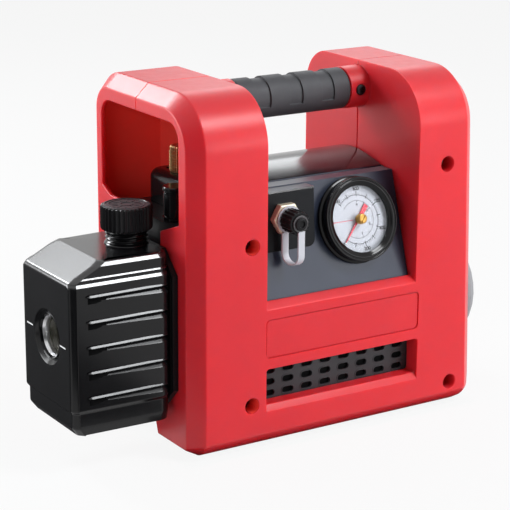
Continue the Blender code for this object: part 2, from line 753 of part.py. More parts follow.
def add_front_features(body, name, pump):
    """The sunk plate, and the vent window with its tunnel and sloping sill."""
    plate = bmesh.new()
    low = (PLATE_LEFT, PLATE_BOTTOM)
    high = (PLATE_LEFT + PLATE_LENGTH, PLATE_BOTTOM + PLATE_HEIGHT)
    outline = rounded_rectangle(low, high, PLATE_CORNER)
    add_prism(plate, outline, "y", -FRONT_DEPTH - CUT_MARGIN, -FRONT_DEPTH + PLATE_SUNK)
    cut(body, f"{name}_plate", plate, pump)

    tunnel = bmesh.new()
    right = VENT_LEFT + VENT_LENGTH
    top = VENT_BOTTOM + VENT_HEIGHT
    back = -FRONT_DEPTH + VENT_TUNNEL
    add_box(tunnel, (VENT_LEFT - VENT_FRAME, -FRONT_DEPTH + SHELL_WALL / 2, VENT_BOTTOM - VENT_FRAME),
            (right + VENT_FRAME, back, top + VENT_FRAME))
    fuse(body, f"{name}_vent_tunnel", tunnel, pump)
    vent = bmesh.new()
    outline = rounded_rectangle((VENT_LEFT, VENT_BOTTOM), (right, top), EDGE)
    add_prism(vent, outline, "y", -FRONT_DEPTH - CUT_MARGIN, back + CUT_MARGIN)
    cut(body, f"{name}_vent", vent, pump)
    sill = bmesh.new()
    face = -FRONT_DEPTH
    outline = [(face, VENT_BOTTOM - VENT_SILL_DROP), (face + SHELL_WALL, VENT_BOTTOM),
               (face + SHELL_WALL, VENT_BOTTOM + EDGE), (face - CUT_MARGIN, VENT_BOTTOM + EDGE),
               (face - CUT_MARGIN, VENT_BOTTOM - VENT_SILL_DROP)]
    add_prism(sill, outline, "x", VENT_LEFT + EDGE, right - EDGE)
    cut(body, f"{name}_vent_sill", sill, pump)


def cut_ends(body, name, pump):
    """Openings in the two ends, and the pipe's way through the left tower's inner wall."""
    window = bmesh.new()
    add_prism(window, window_outline(), "x", -CUT_MARGIN, SHELL_WALL + CUT_MARGIN)
    cut(body, f"{name}_window", window, pump)
    right = bmesh.new()
    inside = HOUSING_LENGTH - 2 * SHELL_WALL
    outside = HOUSING_LENGTH + 2 * SHELL_WALL
    add_turned(right, disc_profile(COWL_RADIUS + COWL_HOLE_GAP, inside, outside), "x", DRIVE_CENTRE)
    sizes = ((SOCKET_WIDTH, SOCKET_HEIGHT, SOCKET_Z), (SWITCH_WIDTH, SWITCH_HEIGHT, SWITCH_Z))
    for width, height, z in sizes:
        half = width / 2 + 2 * FIT_GAP
        rise = height / 2 + 2 * FIT_GAP
        add_box(right, (inside, -half, z - rise), (outside, half, z + rise))
    cut(body, f"{name}_right_openings", right, pump)
    port = bmesh.new()
    low = (LEFT_TOWER - SHELL_WALL - CUT_MARGIN, PIPE_Y - PIPE_PORT_WIDTH / 2, PIPE_PORT_BOTTOM)
    high = (LEFT_TOWER + CUT_MARGIN, PIPE_Y + PIPE_PORT_WIDTH / 2, COVER_BACK_Z)
    add_box(port, low, high)
    cut(body, f"{name}_pipe_port", port, pump)


def shell_screws(finish, pump):
    for number, (x, z) in enumerate(SCREW_PLACES, start=1):
        shape = bmesh.new()
        seat = -FRONT_DEPTH + SCREW_RECESS_DEPTH - FIT_GAP
        profile = [(0.0, seat - SCREW_HEAD_HEIGHT), (SCREW_HEAD_RADIUS, seat - SCREW_HEAD_HEIGHT),
                   (SCREW_HEAD_RADIUS, seat), (SCREW_SHANK_RADIUS, seat), (SCREW_SHANK_RADIUS, SCREW_BITE),
                   (0.0, SCREW_BITE)]
        add_turned(shape, profile, "y", (x, 0.0, z), SMALL_STEPS)
        solid(f"shell_screw_{number}", shape, finish, pump)


def feet(finish, pump):
    number = 0
    for x in (FOOT_LEFT, FOOT_RIGHT):
        for y in (-FOOT_FRONT, FOOT_REAR):
            number += 1
            shape = bmesh.new()
            profile = disc_profile(FOOT_RADIUS, FOOT_BOTTOM, -FIT_GAP)
            add_turned(shape, profile, "z", (x, y, 0.0), SMALL_STEPS)
            solid(f"foot_{number}", shape, finish, pump)


# Handle


def handle(rubber, steel, black, pump):
    centre = (0.0, 0.0, HANDLE_HEIGHT)
    core = bmesh.new()
    profile = disc_profile(HANDLE_CORE_RADIUS, LEFT_TOWER - CORE_ANCHOR, GAP_END + CORE_ANCHOR)
    add_turned(core, profile, "x", centre, SMALL_STEPS)
    core_piece = solid("handle_core", core, steel, pump)
    holes = bmesh.new()
    depth = -STUB_RADIUS + HANDLE_SCREW_SUNK + HANDLE_SCREW_LENGTH + FIT_GAP
    for x in handle_screw_places():
        profile = disc_profile(HANDLE_SCREW_SHANK + FIT_GAP, -STUB_RADIUS, depth)
        add_turned(holes, profile, "y", (x, 0.0, HANDLE_HEIGHT), SMALL_STEPS)
    cut(core_piece, "handle_core_holes", holes, pump)

    grip = bmesh.new()
    start = LEFT_TOWER + STUB_LENGTH + FIT_GAP
    end = GAP_END - STUB_LENGTH - FIT_GAP
    sleeve = tube_profile(HANDLE_CORE_RADIUS + FIT_GAP, GRIP_RADIUS, start, end)
    add_turned(grip, sleeve, "x", centre, ring=True)
    grip_piece = solid("handle_grip", grip, rubber, pump)
    recesses = bmesh.new()
    middle = (start + end) / 2
    axis = (0.0, HANDLE_HEIGHT)
    drop = GRIP_RECESS_DROP
    outline = arc(axis, GRIP_RADIUS + CUT_MARGIN, -drop, 180 + drop, 16)
    outline += arc(axis, GRIP_RADIUS - GRIP_RECESS_DEPTH, 180 + drop, -drop, 16)
    for k in range(GRIP_RECESS_COUNT):
        x = middle + (k - (GRIP_RECESS_COUNT - 1) / 2) * GRIP_RECESS_PITCH
        add_prism(recesses, outline, "x", x - GRIP_RECESS_WIDTH / 2, x + GRIP_RECESS_WIDTH / 2)
    cut(grip_piece, "handle_grip_recesses", recesses, pump)

    for name, x in zip(("handle_screw_left", "handle_screw_right"), handle_screw_places()):
        screw = bmesh.new()
        seat = -STUB_RADIUS + HANDLE_SCREW_SUNK - FIT_GAP
        tip = seat + HANDLE_SCREW_LENGTH
        profile = [(0.0, seat - HANDLE_SCREW_HEIGHT), (HANDLE_SCREW_RADIUS, seat - HANDLE_SCREW_HEIGHT),
                   (HANDLE_SCREW_RADIUS, seat), (HANDLE_SCREW_SHANK, seat),
                   (HANDLE_SCREW_SHANK, tip), (0.0, tip)]
        add_turned(screw, profile, "y", (x, 0.0, HANDLE_HEIGHT), SMALL_STEPS)
        solid(name, screw, black, pump)


# Cover, gauge and suction port


def cover_outline(inset):
    """(y, z) outline of the cover, drawn in by an inset, from the panel's foot over the crown to the back."""
    foot_y = -PANEL_FOOT_Y + inset / math.cos(PANEL_LEAN)
    top_y = -PANEL_TOP_Y + inset / math.cos(PANEL_LEAN)
    ledge_y = -PANEL_TOP_Y + LEDGE_DEPTH + inset
    ledge_z = PANEL_TOP_Z - inset
    slope = math.tan(PANEL_LEAN)
    bottom = PANEL_FOOT_Z - (CUT_MARGIN if inset else 0.0)
    points = [(foot_y - (PANEL_FOOT_Z - bottom) * slope, bottom), (top_y - inset * slope, ledge_z)]
    points.append((ledge_y, ledge_z))
    crown_z = CROWN_HEIGHT - inset
    for k in range(1, ARC_STEPS + 1):
        share = k / ARC_STEPS
        points.append((ledge_y + (CROWN_Y - ledge_y) * share,
                       ledge_z + (crown_z - ledge_z) * math.sin(math.radians(90 * share))))
    back_y = COVER_BACK_Y - inset
    back_z = COVER_BACK_Z - inset
    for k in range(1, ARC_STEPS + 1):
        share = k / ARC_STEPS
        points.append((CROWN_Y + (back_y - CROWN_Y) * share,
                       back_z + (crown_z - back_z) * math.cos(math.radians(90 * share))))
    rear_foot = REAR_DEPTH - SADDLE_LIP - FIT_GAP - inset
    return points + [(rear_foot, SADDLE_HEIGHT), (rear_foot, bottom)]


def panel_cover(finish, pump, gauge_frame):
    start = LEFT_TOWER + FIT_GAP
    end = GAP_END - FIT_GAP
    shape = bmesh.new()
    add_prism(shape, cover_outline(0.0), "x", start, end)
    cover = solid("panel_cover", shape, finish, pump)
    block = bmesh.new()
    low = (start, -INLET_BLOCK_FACE, INLET_BLOCK_BOTTOM)
    high = (INLET_BLOCK_RIGHT, -INLET_BLOCK_FACE + INLET_BLOCK_DEPTH, PANEL_TOP_Z)
    add_box(block, low, high)
    fuse(cover, "cover_inlet_block", block, pump)
    inside = bmesh.new()
    add_prism(inside, cover_outline(COVER_WALL), "x", start - CUT_MARGIN, end + CUT_MARGIN)
    cut(cover, "cover_inside", inside, pump)
    hole = bmesh.new()
    profile = disc_profile(GAUGE_BODY_RADIUS + FIT_GAP, -GAUGE_BODY_DEPTH, GAUGE_BODY_DEPTH)
    add_turned(hole, profile, "z")
    cut(cover, "cover_gauge_hole", hole, gauge_frame)
    bore = bmesh.new()
    profile = disc_profile(INLET_SHANK_RADIUS + FIT_GAP, -INLET_BLOCK_FACE - CUT_MARGIN, -SHELL_WALL)
    add_turned(bore, profile, "y", (INLET_X, 0.0, INLET_Z), SMALL_STEPS)
    cut(cover, "cover_inlet_bore", bore, pump)


def gauge(black, white, red, glass, frame):
    case = bmesh.new()
    floor = DIAL_SEAT
    profile = [(0.0, -GAUGE_BODY_DEPTH), (GAUGE_BODY_RADIUS, -GAUGE_BODY_DEPTH), (GAUGE_BODY_RADIUS, FIT_GAP),
               (GAUGE_FLANGE_RADIUS, FIT_GAP), (GAUGE_FLANGE_RADIUS, FIT_GAP + GAUGE_FLANGE_THICKNESS),
               (GAUGE_RIM_RADIUS, 2 * GAUGE_FLANGE_THICKNESS), (GAUGE_RIM_RADIUS, GAUGE_RIM_HEIGHT),
               (GAUGE_BORE_RADIUS, GAUGE_RIM_HEIGHT), (GAUGE_BORE_RADIUS, floor), (0.0, floor)]
    add_turned(case, profile, "z")
    solid("gauge_case", case, black, frame)
    dial = bmesh.new()
    dial_top = floor + FIT_GAP + DIAL_THICKNESS
    add_turned(dial, disc_profile(DIAL_RADIUS, floor + FIT_GAP, dial_top), "z")
    solid("gauge_dial", dial, white, frame)
    lens = bmesh.new()
    lens_bottom = GAUGE_RIM_HEIGHT + FIT_GAP
    lens_top = lens_bottom + LENS_THICKNESS
    add_turned(lens, disc_profile(LENS_RADIUS, lens_bottom, lens_top), "z")
    solid("gauge_lens", lens, glass, frame)
    bezel = bmesh.new()
    pocket = LENS_RADIUS + FIT_GAP
    bezel_top = lens_bottom + BEZEL_HEIGHT
    profile = [(pocket, lens_bottom), (BEZEL_RADIUS, lens_bottom), (BEZEL_RADIUS, bezel_top - EDGE / 2),
               (BEZEL_RADIUS - EDGE / 2, bezel_top), (BEZEL_OPENING + EDGE / 2, bezel_top),
               (BEZEL_OPENING, bezel_top - EDGE / 2), (BEZEL_OPENING, lens_top + FIT_GAP),
               (pocket, lens_top + FIT_GAP)]
    add_turned(bezel, profile, "z", ring=True)
    solid("gauge_bezel", bezel, black, frame)
    pointer = bmesh.new()
    bottom = dial_top + FIT_GAP
    hub = disc_profile(POINTER_HUB, bottom, bottom + POINTER_HUB_HEIGHT)
    add_turned(pointer, hub, "z", steps=SMALL_STEPS)
    piece = solid("gauge_pointer", pointer, red, frame)
    needle = bmesh.new()
    turn = math.radians(POINTER_REST)
    along = Vector((math.cos(turn), math.sin(turn)))
    across = Vector((-along.y, along.x)) * (POINTER_WIDTH / 2)
    outline = [along * POINTER_LENGTH + across / 4, -along * POINTER_TAIL + across,
               -along * POINTER_TAIL - across, along * POINTER_LENGTH - across / 4]
    rise = bottom + (POINTER_HUB_HEIGHT - POINTER_THICKNESS) / 2
    add_prism(needle, outline, "z", rise, rise + POINTER_THICKNESS)
    fuse(piece, "gauge_pointer_needle", needle, frame)


def suction_port(brass, black, white, pump):
    centre = (INLET_X, 0.0, INLET_Z)
    fitting = bmesh.new()
    back = INLET_FACE_Y + INLET_SHANK_LENGTH
    nose = HEX_END_Y - INLET_NOSE_LENGTH
    middle = (INLET_FACE_Y + HEX_END_Y) / 2
    profile = [(INLET_BORE, back), (INLET_SHANK_RADIUS, back), (INLET_SHANK_RADIUS, middle),
               (INLET_NOSE_RADIUS, middle), (INLET_NOSE_RADIUS, nose), (INLET_BORE, nose)]
    add_turned(fitting, profile, "y", centre, SMALL_STEPS, ring=True)
    piece = solid("inlet_fitting", fitting, brass, pump)
    hexagon = bmesh.new()
    ring = tube_profile((INLET_BORE + INLET_NOSE_RADIUS) / 2, INLET_HEX_RADIUS, INLET_FACE_Y, HEX_END_Y)
    add_turned(hexagon, ring, "y", centre, 6, ring=True)
    fuse(piece, "inlet_fitting_hexagon", hexagon, pump)

    cap = bmesh.new()
    bore = INLET_NOSE_RADIUS + FIT_GAP
    inner_end = CAP_END_Y + CAP_END_WALL
    profile = [(bore, CAP_START_Y), (CAP_RADIUS, CAP_START_Y), (CAP_RADIUS, CAP_END_Y),
               (CAP_STUD_RADIUS, CAP_END_Y), (CAP_STUD_RADIUS, INLET_TIP_Y), (0.0, INLET_TIP_Y),
               (0.0, inner_end), (bore, inner_end)]
    add_turned(cap, profile, "y", centre, ring=True)
    solid("inlet_cap", cap, black, pump, (INLET_X, CAP_END_Y, INLET_Z))

    strap = bmesh.new()
    ring_inner = INLET_NOSE_RADIUS + FIT_GAP
    profile = tube_profile(ring_inner, STRAP_RING_RADIUS, STRAP_Y, STRAP_Y + STRAP_THICKNESS)
    add_turned(strap, profile, "y", centre, SMALL_STEPS, ring=True)
    piece = solid("cap_strap", strap, white, pump)
    end_y = CAP_END_Y - FIT_GAP - STRAP_THICKNESS
    end = bmesh.new()
    profile = tube_profile(CAP_STUD_RADIUS + FIT_GAP, STRAP_END_RADIUS, end_y, end_y + STRAP_THICKNESS)
    add_turned(end, profile, "y", centre, SMALL_STEPS, ring=True)
    fuse(piece, "cap_strap_end", end, pump)
    band = bmesh.new()
    outer = (STRAP_Y + STRAP_THICKNESS - end_y) / 2
    bend = (end_y + outer, INLET_Z - STRAP_DROP)
    inner = outer - STRAP_THICKNESS
    near_top = INLET_Z - (ring_inner + STRAP_RING_RADIUS) / 2
    far_top = INLET_Z - (CAP_STUD_RADIUS + STRAP_END_RADIUS) / 2
    outline = [(bend[0] + outer, near_top)] + arc(bend, outer, 0, -180, 10) + [(bend[0] - outer, far_top)]
    outline += [(bend[0] - inner, far_top)] + arc(bend, inner, -180, 0, 10) + [(bend[0] + inner, near_top)]
    add_prism(band, outline, "x", INLET_X - STRAP_WIDTH / 2, INLET_X + STRAP_WIDTH / 2)
    for vertex in band.verts:
        share = (vertex.co.y - end_y) / (STRAP_Y - end_y)
        vertex.co.x += STRAP_END_SHIFT + (STRAP_START_SHIFT - STRAP_END_SHIFT) * share
    fuse(piece, "cap_strap_band", band, pump)


def vent_grille(finish, pump):
    plate = bmesh.new()
    over = GRILLE_OVERLAP
    right = VENT_LEFT + VENT_LENGTH
    back = GRILLE_FRONT + GRILLE_THICKNESS
    add_box(plate, (VENT_LEFT - over, GRILLE_FRONT, VENT_BOTTOM - over),
            (right + over, back, VENT_BOTTOM + VENT_HEIGHT + over))
    grille = solid("vent_grille", plate, finish, pump)
    slots = bmesh.new()
    for row in range(GRILLE_ROWS):
        for column in range(GRILLE_COLUMNS):
            x = VENT_LEFT + GRILLE_FIRST_X + column * GRILLE_PITCH_X
            z = VENT_BOTTOM + GRILLE_FIRST_Z + row * GRILLE_PITCH_Z
            low = (x - SLOT_LENGTH / 2, z - SLOT_HEIGHT / 2)
            high = (x + SLOT_LENGTH / 2, z + SLOT_HEIGHT / 2)
            outline = cut_corners(low, high, SLOT_HEIGHT / 3)
            add_prism(slots, outline, "y", GRILLE_FRONT - CUT_MARGIN, back + CUT_MARGIN)
    cut(grille, "vent_grille_slots", slots, pump)


# Pump


def flange_outline(inset):
    """(y, z) outline of the face that the tank is bolted to."""
    low = (-TANK_NEAR + inset, FLANGE_BOTTOM + inset)
    high = (FLANGE_FAR - inset, FLANGE_RIM_TOP - inset)
    return cut_corners(low, high, FLANGE_CUT)


def pump_flange(finish, pump):
    face = bmesh.new()
    add_prism(face, flange_outline(0.0), "x", FLANGE_LEFT, -FIT_GAP)
    flange = solid("pump_flange", face, finish, pump)
    opening_low, opening_high = pump_opening()
    neck = bmesh.new()
    add_box(neck, (-FIT_GAP - EDGE / 2, opening_low[0] + FIT_GAP, opening_low[1] + FIT_GAP),
            (FLANGE_INNER + EDGE / 2, opening_high[0] - FIT_GAP, opening_high[1] - FIT_GAP))
    fuse(flange, "pump_flange_neck", neck, pump)
    plate = bmesh.new()
    add_box(plate, (FLANGE_INNER, -TANK_NEAR, FLANGE_BOTTOM),
            (FLANGE_INNER + FLANGE_PLATE, FLANGE_FAR, FLANGE_TOP + EDGE))
    fuse(flange, "pump_flange_plate", plate, pump)
    shelf = bmesh.new()
    add_box(shelf, (FLANGE_INNER, -SHELF_FRONT, FLANGE_TOP),
            (FLANGE_INNER + SHELF_LENGTH, SHELF_REAR, SHELF_TOP))
    fuse(flange, "pump_flange_shelf", shelf, pump)
    lantern = bmesh.new()
    seat = SHAFT_BEARING_OUTER + FIT_GAP
    start = FLANGE_INNER + FLANGE_PLATE - EDGE
    wall = LANTERN_END - LANTERN_END_WALL
    profile = [(LANTERN_RADIUS, start), (LANTERN_RADIUS, LANTERN_END - MOTOR_SEAT),
               (MOTOR_RADIUS, LANTERN_END - MOTOR_SEAT), (MOTOR_RADIUS, LANTERN_END),
               (seat, LANTERN_END), (seat, wall), (LANTERN_RADIUS - LANTERN_WALL, wall),
               (LANTERN_RADIUS - LANTERN_WALL, start)]
    add_turned(lantern, profile, "x", DRIVE_CENTRE, ring=True)
    fuse(flange, "pump_flange_lantern", lantern, pump)
    bore = bmesh.new()
    profile = disc_profile(SHAFT_RADIUS + RUNNING_GAP, FLANGE_LEFT - CUT_MARGIN, start + 2 * EDGE)
    add_turned(bore, profile, "x", DRIVE_CENTRE, SMALL_STEPS)
    cut(flange, "pump_flange_bore", bore, pump)


def pump_stages(cast, steel, carbon, pump, spindle):
    centre = DRIVE_CENTRE
    chamber = (0.0, DRIVE_Y, DRIVE_Z - ECCENTRICITY)
    stages = (("stage1", STAGE1_RIGHT, STAGE1_LENGTH), ("stage2", STAGE2_RIGHT, STAGE2_LENGTH))
    for name, right, length in stages:
        ring = bmesh.new()
        add_turned(ring, disc_profile(STATOR_RADIUS, right - length, right), "x", centre)
        stator = solid(f"{name}_stator", ring, cast, pump)
        bore = bmesh.new()
        profile = disc_profile(CHAMBER_RADIUS, right - length - CUT_MARGIN, right + CUT_MARGIN)
        add_turned(bore, profile, "x", chamber, 2 * ROUND_STEPS)
        cut(stator, f"{name}_chamber", bore, pump)
        pump_rotor(name, right, length, steel, carbon, pump, spindle)
    plate = bmesh.new()
    hole = SHAFT_RADIUS + RUNNING_GAP
    profile = tube_profile(hole, STATOR_RADIUS, MIDDLE_RIGHT - MIDDLE_PLATE, MIDDLE_RIGHT)
    add_turned(plate, profile, "x", centre, SMALL_STEPS, ring=True)
    solid("middle_plate", plate, cast, pump)
    end = bmesh.new()
    floor = SHAFT_START - FIT_GAP
    left = END_PLATE_RIGHT - END_PLATE
    profile = [(hole, END_PLATE_RIGHT), (STATOR_RADIUS, END_PLATE_RIGHT), (STATOR_RADIUS, left),
               (0.0, left), (0.0, floor), (hole, floor)]
    add_turned(end, profile, "x", centre, SMALL_STEPS, ring=True)
    solid("pump_end_plate", end, cast, pump)


def pump_rotor(name, right, length, steel, carbon, pump, spindle):
    """A slotted rotor with two vanes that slide along Y, shown pushed home."""
    start = right - length + ROTOR_CLEARANCE
    end = right - ROTOR_CLEARANCE
    shape = bmesh.new()
    add_turned(shape, tube_profile(SHAFT_RADIUS + RUNNING_GAP, ROTOR_RADIUS, start, end), "x", ring=True)
    rotor = solid(f"{name}_rotor", shape, steel, spindle)
    slots = bmesh.new()
    half = VANE_THICKNESS / 2 + RUNNING_GAP
    for side, letter in ((FRONT, "a"), (REAR, "b")):
        ends = sorted((side * SLOT_INNER, side * (ROTOR_RADIUS + CUT_MARGIN)))
        add_box(slots, (start - CUT_MARGIN, ends[0], -half), (end + CUT_MARGIN, ends[1], half))
        vane = bmesh.new()
        ends = sorted((side * VANE_INNER, side * (ROTOR_RADIUS - VANE_SUNK)))
        half_vane = VANE_THICKNESS / 2
        add_box(vane, (start, ends[0], -half_vane), (end, ends[1], half_vane))
        solid(f"{name}_vane_{letter}", vane, carbon, spindle, ((start + end) / 2, side * VANE_INNER, 0.0))
    cut(rotor, f"{name}_rotor_slots", slots, spindle)


def drive_shaft(steel, pump, spindle):
    shaft = bmesh.new()
    add_turned(shaft, disc_profile(SHAFT_RADIUS, SHAFT_START, SHAFT_END), "x", steps=SMALL_STEPS)
    solid("drive_shaft", shaft, steel, spindle)
    bell_left = MOTOR_END - BELL_SUNK - BELL_THICKNESS
    places = (("front_bearing", LANTERN_END - LANTERN_END_WALL), ("rear_bearing", bell_left))
    for name, start in places:
        bearing = bmesh.new()
        profile = tube_profile(SHAFT_RADIUS + RUNNING_GAP, SHAFT_BEARING_OUTER, start, start + BEARING_WIDTH)
        add_turned(bearing, profile, "x", DRIVE_CENTRE, SMALL_STEPS, ring=True)
        solid(name, bearing, steel, pump)


# Oil tank


def tank_loop(inset_front, inset_side, z):
    """(x, y) loop of the tank at one height, with its two front corners cut."""
    front = -TANK_FRONT + inset_front
    near = -TANK_NEAR + inset_side
    far = TANK_FAR - inset_side
    c = TANK_CORNER
    flat = [(TANK_REAR, near), (front + c, near), (front, near + c)]
    flat += [(front, far - c), (front + c, far), (TANK_REAR, far)]
    return [Vector((x, y, z)) for x, y in flat]


def tank_mouth():
    """(y, z) outline of the tank's open rear."""
    low = (-TANK_NEAR + TANK_WALL, FLANGE_BOTTOM + TANK_WALL)
    high = (FLANGE_FAR - TANK_WALL, FLANGE_RIM_TOP - FLANGE_CUT)
    return cut_corners(low, high, FLANGE_CUT - EDGE)


def oil_tank(finish, pump):
    shape = bmesh.new()
    band = TANK_BAND_INSET
    bevel = TANK_BOTTOM_BEVEL
    add_loft(shape, [tank_loop(bevel, band + EDGE, TANK_BOTTOM), tank_loop(band, band, TANK_BOTTOM + bevel),
                     tank_loop(band, band, TANK_BAND_TOP), tank_loop(0.0, 0.0, TANK_BAND_TOP + 2 * band),
                     tank_loop(0.0, 0.0, TANK_SHOULDER),
                     tank_loop(TANK_SLOPE_RUN, TANK_SIDE_DRAFT, TANK_TOP)])
    tank = solid("oil_tank", shape, finish, pump)
    neck = bmesh.new()
    centre = (NECK_X, DRIVE_Y, 0.0)
    neck_top = TANK_TOP + NECK_HEIGHT
    add_turned(neck, disc_profile(NECK_RADIUS, TANK_TOP - FIT_GAP, neck_top), "z", centre)
    fuse(tank, "oil_tank_neck", neck, pump)

    inside = bmesh.new()
    mouth = TANK_REAR + CUT_MARGIN
    add_prism(inside, tank_mouth(), "x", -TANK_FRONT + TANK_WALL, mouth)
    cut(tank, "oil_tank_inside", inside, pump)
    head = bmesh.new()
    cut_in = FLANGE_CUT + EDGE
    head_left = -TANK_FRONT + TANK_SLOPE_RUN + TANK_WALL
    add_box(head, (head_left, -TANK_NEAR + cut_in, TANK_SHOULDER - 2 * TANK_WALL),
            (mouth, FLANGE_FAR - cut_in, TANK_TOP - TANK_WALL))
    cut(tank, "oil_tank_head", head, pump)
    filler = bmesh.new()
    profile = disc_profile(NECK_BORE, TANK_TOP - 2 * TANK_WALL, neck_top + CUT_MARGIN)
    add_turned(filler, profile, "z", centre, SMALL_STEPS)
    cut(tank, "oil_tank_filler", filler, pump)
    cut(tank, "oil_tank_sight_hole", sight_hole(), pump)
    drain = bmesh.new()
    ends = (TANK_BOTTOM - CUT_MARGIN, TANK_BOTTOM + TANK_WALL + CUT_MARGIN)
    profile = disc_profile(DRAIN_SHANK + FIT_GAP, *ends)
    add_turned(drain, profile, "z", (DRAIN_X, DRIVE_Y, 0.0), SMALL_STEPS)
    cut(tank, "oil_tank_drain", drain, pump)
    cut(tank, "oil_tank_grooves", tank_grooves(), pump)


def sight_hole():
    shape = bmesh.new()
    face = -TANK_FRONT
    bore = SIGHT_RING_RADIUS + FIT_GAP
    inside = face + TANK_WALL + CUT_MARGIN
    profile = [(0.0, face - CUT_MARGIN), (SIGHT_SINK_RADIUS, face - CUT_MARGIN), (SIGHT_SINK_RADIUS, face),
               (bore, face + SIGHT_SINK_DEPTH), (bore, inside), (0.0, inside)]
    add_turned(shape, profile, "x", (0.0, DRIVE_Y, SIGHT_Z))
    return shape


def tank_grooves():
    """Long grooves down both sides, each with a lower face that slopes out to the surface."""
    shape = bmesh.new()
    start = -TANK_FRONT + GROOVE_START
    end = TANK_REAR + CUT_MARGIN
    for wall, inwards in ((-TANK_NEAR, 1), (TANK_FAR, -1)):
        for k in range(GROOVE_COUNT):
            top = GROOVE_TOP - k * GROOVE_PITCH
            outside = wall - inwards * CUT_MARGIN
            deep = wall + inwards * GROOVE_DEPTH
            outline = [(outside, top), (deep, top - GROOVE_HEIGHT / 4), (wall, top - GROOVE_HEIGHT),
                       (outside, top - GROOVE_HEIGHT)]
            add_prism(shape, outline, "x", start, end)
    return shape


def tank_fittings(black, rubber, metal, glass, brass, pump):
    gasket = bmesh.new()
    left = GASKET_RIGHT - GASKET_THICKNESS
    add_prism(gasket, flange_outline(EDGE / 2), "x", left, GASKET_RIGHT)
    gasket_piece = solid("tank_gasket", gasket, rubber, pump)
    opening = bmesh.new()
    add_prism(opening, tank_mouth(), "x", left - CUT_MARGIN, GASKET_RIGHT + CUT_MARGIN)
    cut(gasket_piece, "tank_gasket_opening", opening, pump)

    cap = bmesh.new()
    centre = (NECK_X, DRIVE_Y, 0.0)
    bottom = TANK_TOP + OIL_CAP_LIFT
    top = bottom + OIL_CAP_HEIGHT
    inner = NECK_RADIUS + FIT_GAP
    ceiling = top - OIL_CAP_TOP_WALL
    profile = [(inner, bottom), (OIL_CAP_RADIUS, bottom), (OIL_CAP_RADIUS, top - EDGE / 2),
               (OIL_CAP_RADIUS - EDGE / 2, top), (0.0, top), (0.0, ceiling), (inner, ceiling)]
    add_turned(cap, profile, "z", centre, 2 * OIL_CAP_RIBS, ring=True)
    for vertex in cap.verts:
        offset = vertex.co - Vector((*centre[:2], vertex.co.z))
        turn = round(math.atan2(offset.y, offset.x) / math.tau * 2 * OIL_CAP_RIBS)
        if offset.length > inner + EDGE / 2 and turn % 2:
            vertex.co -= offset.normalized() * OIL_CAP_RIB_DEPTH
    solid("oil_cap", cap, black, pump, (NECK_X, DRIVE_Y, bottom))

    ring = bmesh.new()
    face = -TANK_FRONT
    sight = (0.0, DRIVE_Y, SIGHT_Z)
    profile = tube_profile(SIGHT_OPENING, SIGHT_RING_RADIUS, face, face + SIGHT_BARREL)
    add_turned(ring, profile, "x", sight, ring=True)
    solid("sight_glass_ring", ring, metal, pump)
    lens = bmesh.new()
    start = face + SIGHT_LENS_SUNK
    profile = disc_profile(SIGHT_OPENING - FIT_GAP, start, start + SIGHT_LENS_THICKNESS)
    add_turned(lens, profile, "x", sight)
    solid("sight_glass", lens, glass, pump)

    plug = bmesh.new()
    seat = TANK_BOTTOM - FIT_GAP
    tip = TANK_BOTTOM + TANK_WALL
    shank = [(0.0, seat - DRAIN_HEAD), (DRAIN_RADIUS, seat - DRAIN_HEAD), (DRAIN_RADIUS, seat),
             (DRAIN_SHANK, seat), (DRAIN_SHANK, tip), (0.0, tip)]
    add_turned(plug, shank, "z", (DRAIN_X, DRIVE_Y, 0.0), 12)
    solid("drain_plug", plug, brass, pump, (DRAIN_X, DRIVE_Y, seat))


# Motor


def motor(black, copper, steel, grey, pump, spindle):
    housing = bmesh.new()
    bore = MOTOR_RADIUS - MOTOR_WALL
    profile = tube_profile(bore, MOTOR_RADIUS, LANTERN_END + FIT_GAP, MOTOR_END)
    add_turned(housing, profile, "x", DRIVE_CENTRE, SMALL_STEPS, ring=True)
    solid("motor_housing", housing, black, pump)
    stator = bmesh.new()
    end = STACK_START + STACK_LENGTH
    outer = bore - FIT_GAP
    inner = MOTOR_ROTOR_RADIUS + AIR_GAP
    profile = [(WINDING_INNER, STACK_START - WINDING_LENGTH), (WINDING_OUTER, STACK_START - WINDING_LENGTH),
               (WINDING_OUTER, STACK_START), (outer, STACK_START), (outer, end), (WINDING_OUTER, end),
               (WINDING_OUTER, end + WINDING_LENGTH), (WINDING_INNER, end + WINDING_LENGTH),
               (WINDING_INNER, end), (inner, end), (inner, STACK_START), (WINDING_INNER, STACK_START)]
    add_turned(stator, profile, "x", DRIVE_CENTRE, SMALL_STEPS, ring=True)
    solid("motor_stator", stator, copper, pump)
    rotor = bmesh.new()
    profile = tube_profile(SHAFT_RADIUS + RUNNING_GAP, MOTOR_ROTOR_RADIUS, STACK_START - ROTOR_OVERHANG,
                           end + ROTOR_OVERHANG)
    add_turned(rotor, profile, "x", steps=SMALL_STEPS, ring=True)
    solid("motor_rotor", rotor, steel, spindle)
    bell = bmesh.new()
    left = MOTOR_END - BELL_SUNK - BELL_THICKNESS
    profile = tube_profile(SHAFT_BEARING_OUTER + FIT_GAP, outer, left, left + BELL_THICKNESS)
    add_turned(bell, profile, "x", DRIVE_CENTRE, SMALL_STEPS, ring=True)
    solid("motor_end_bell", bell, grey, pump)


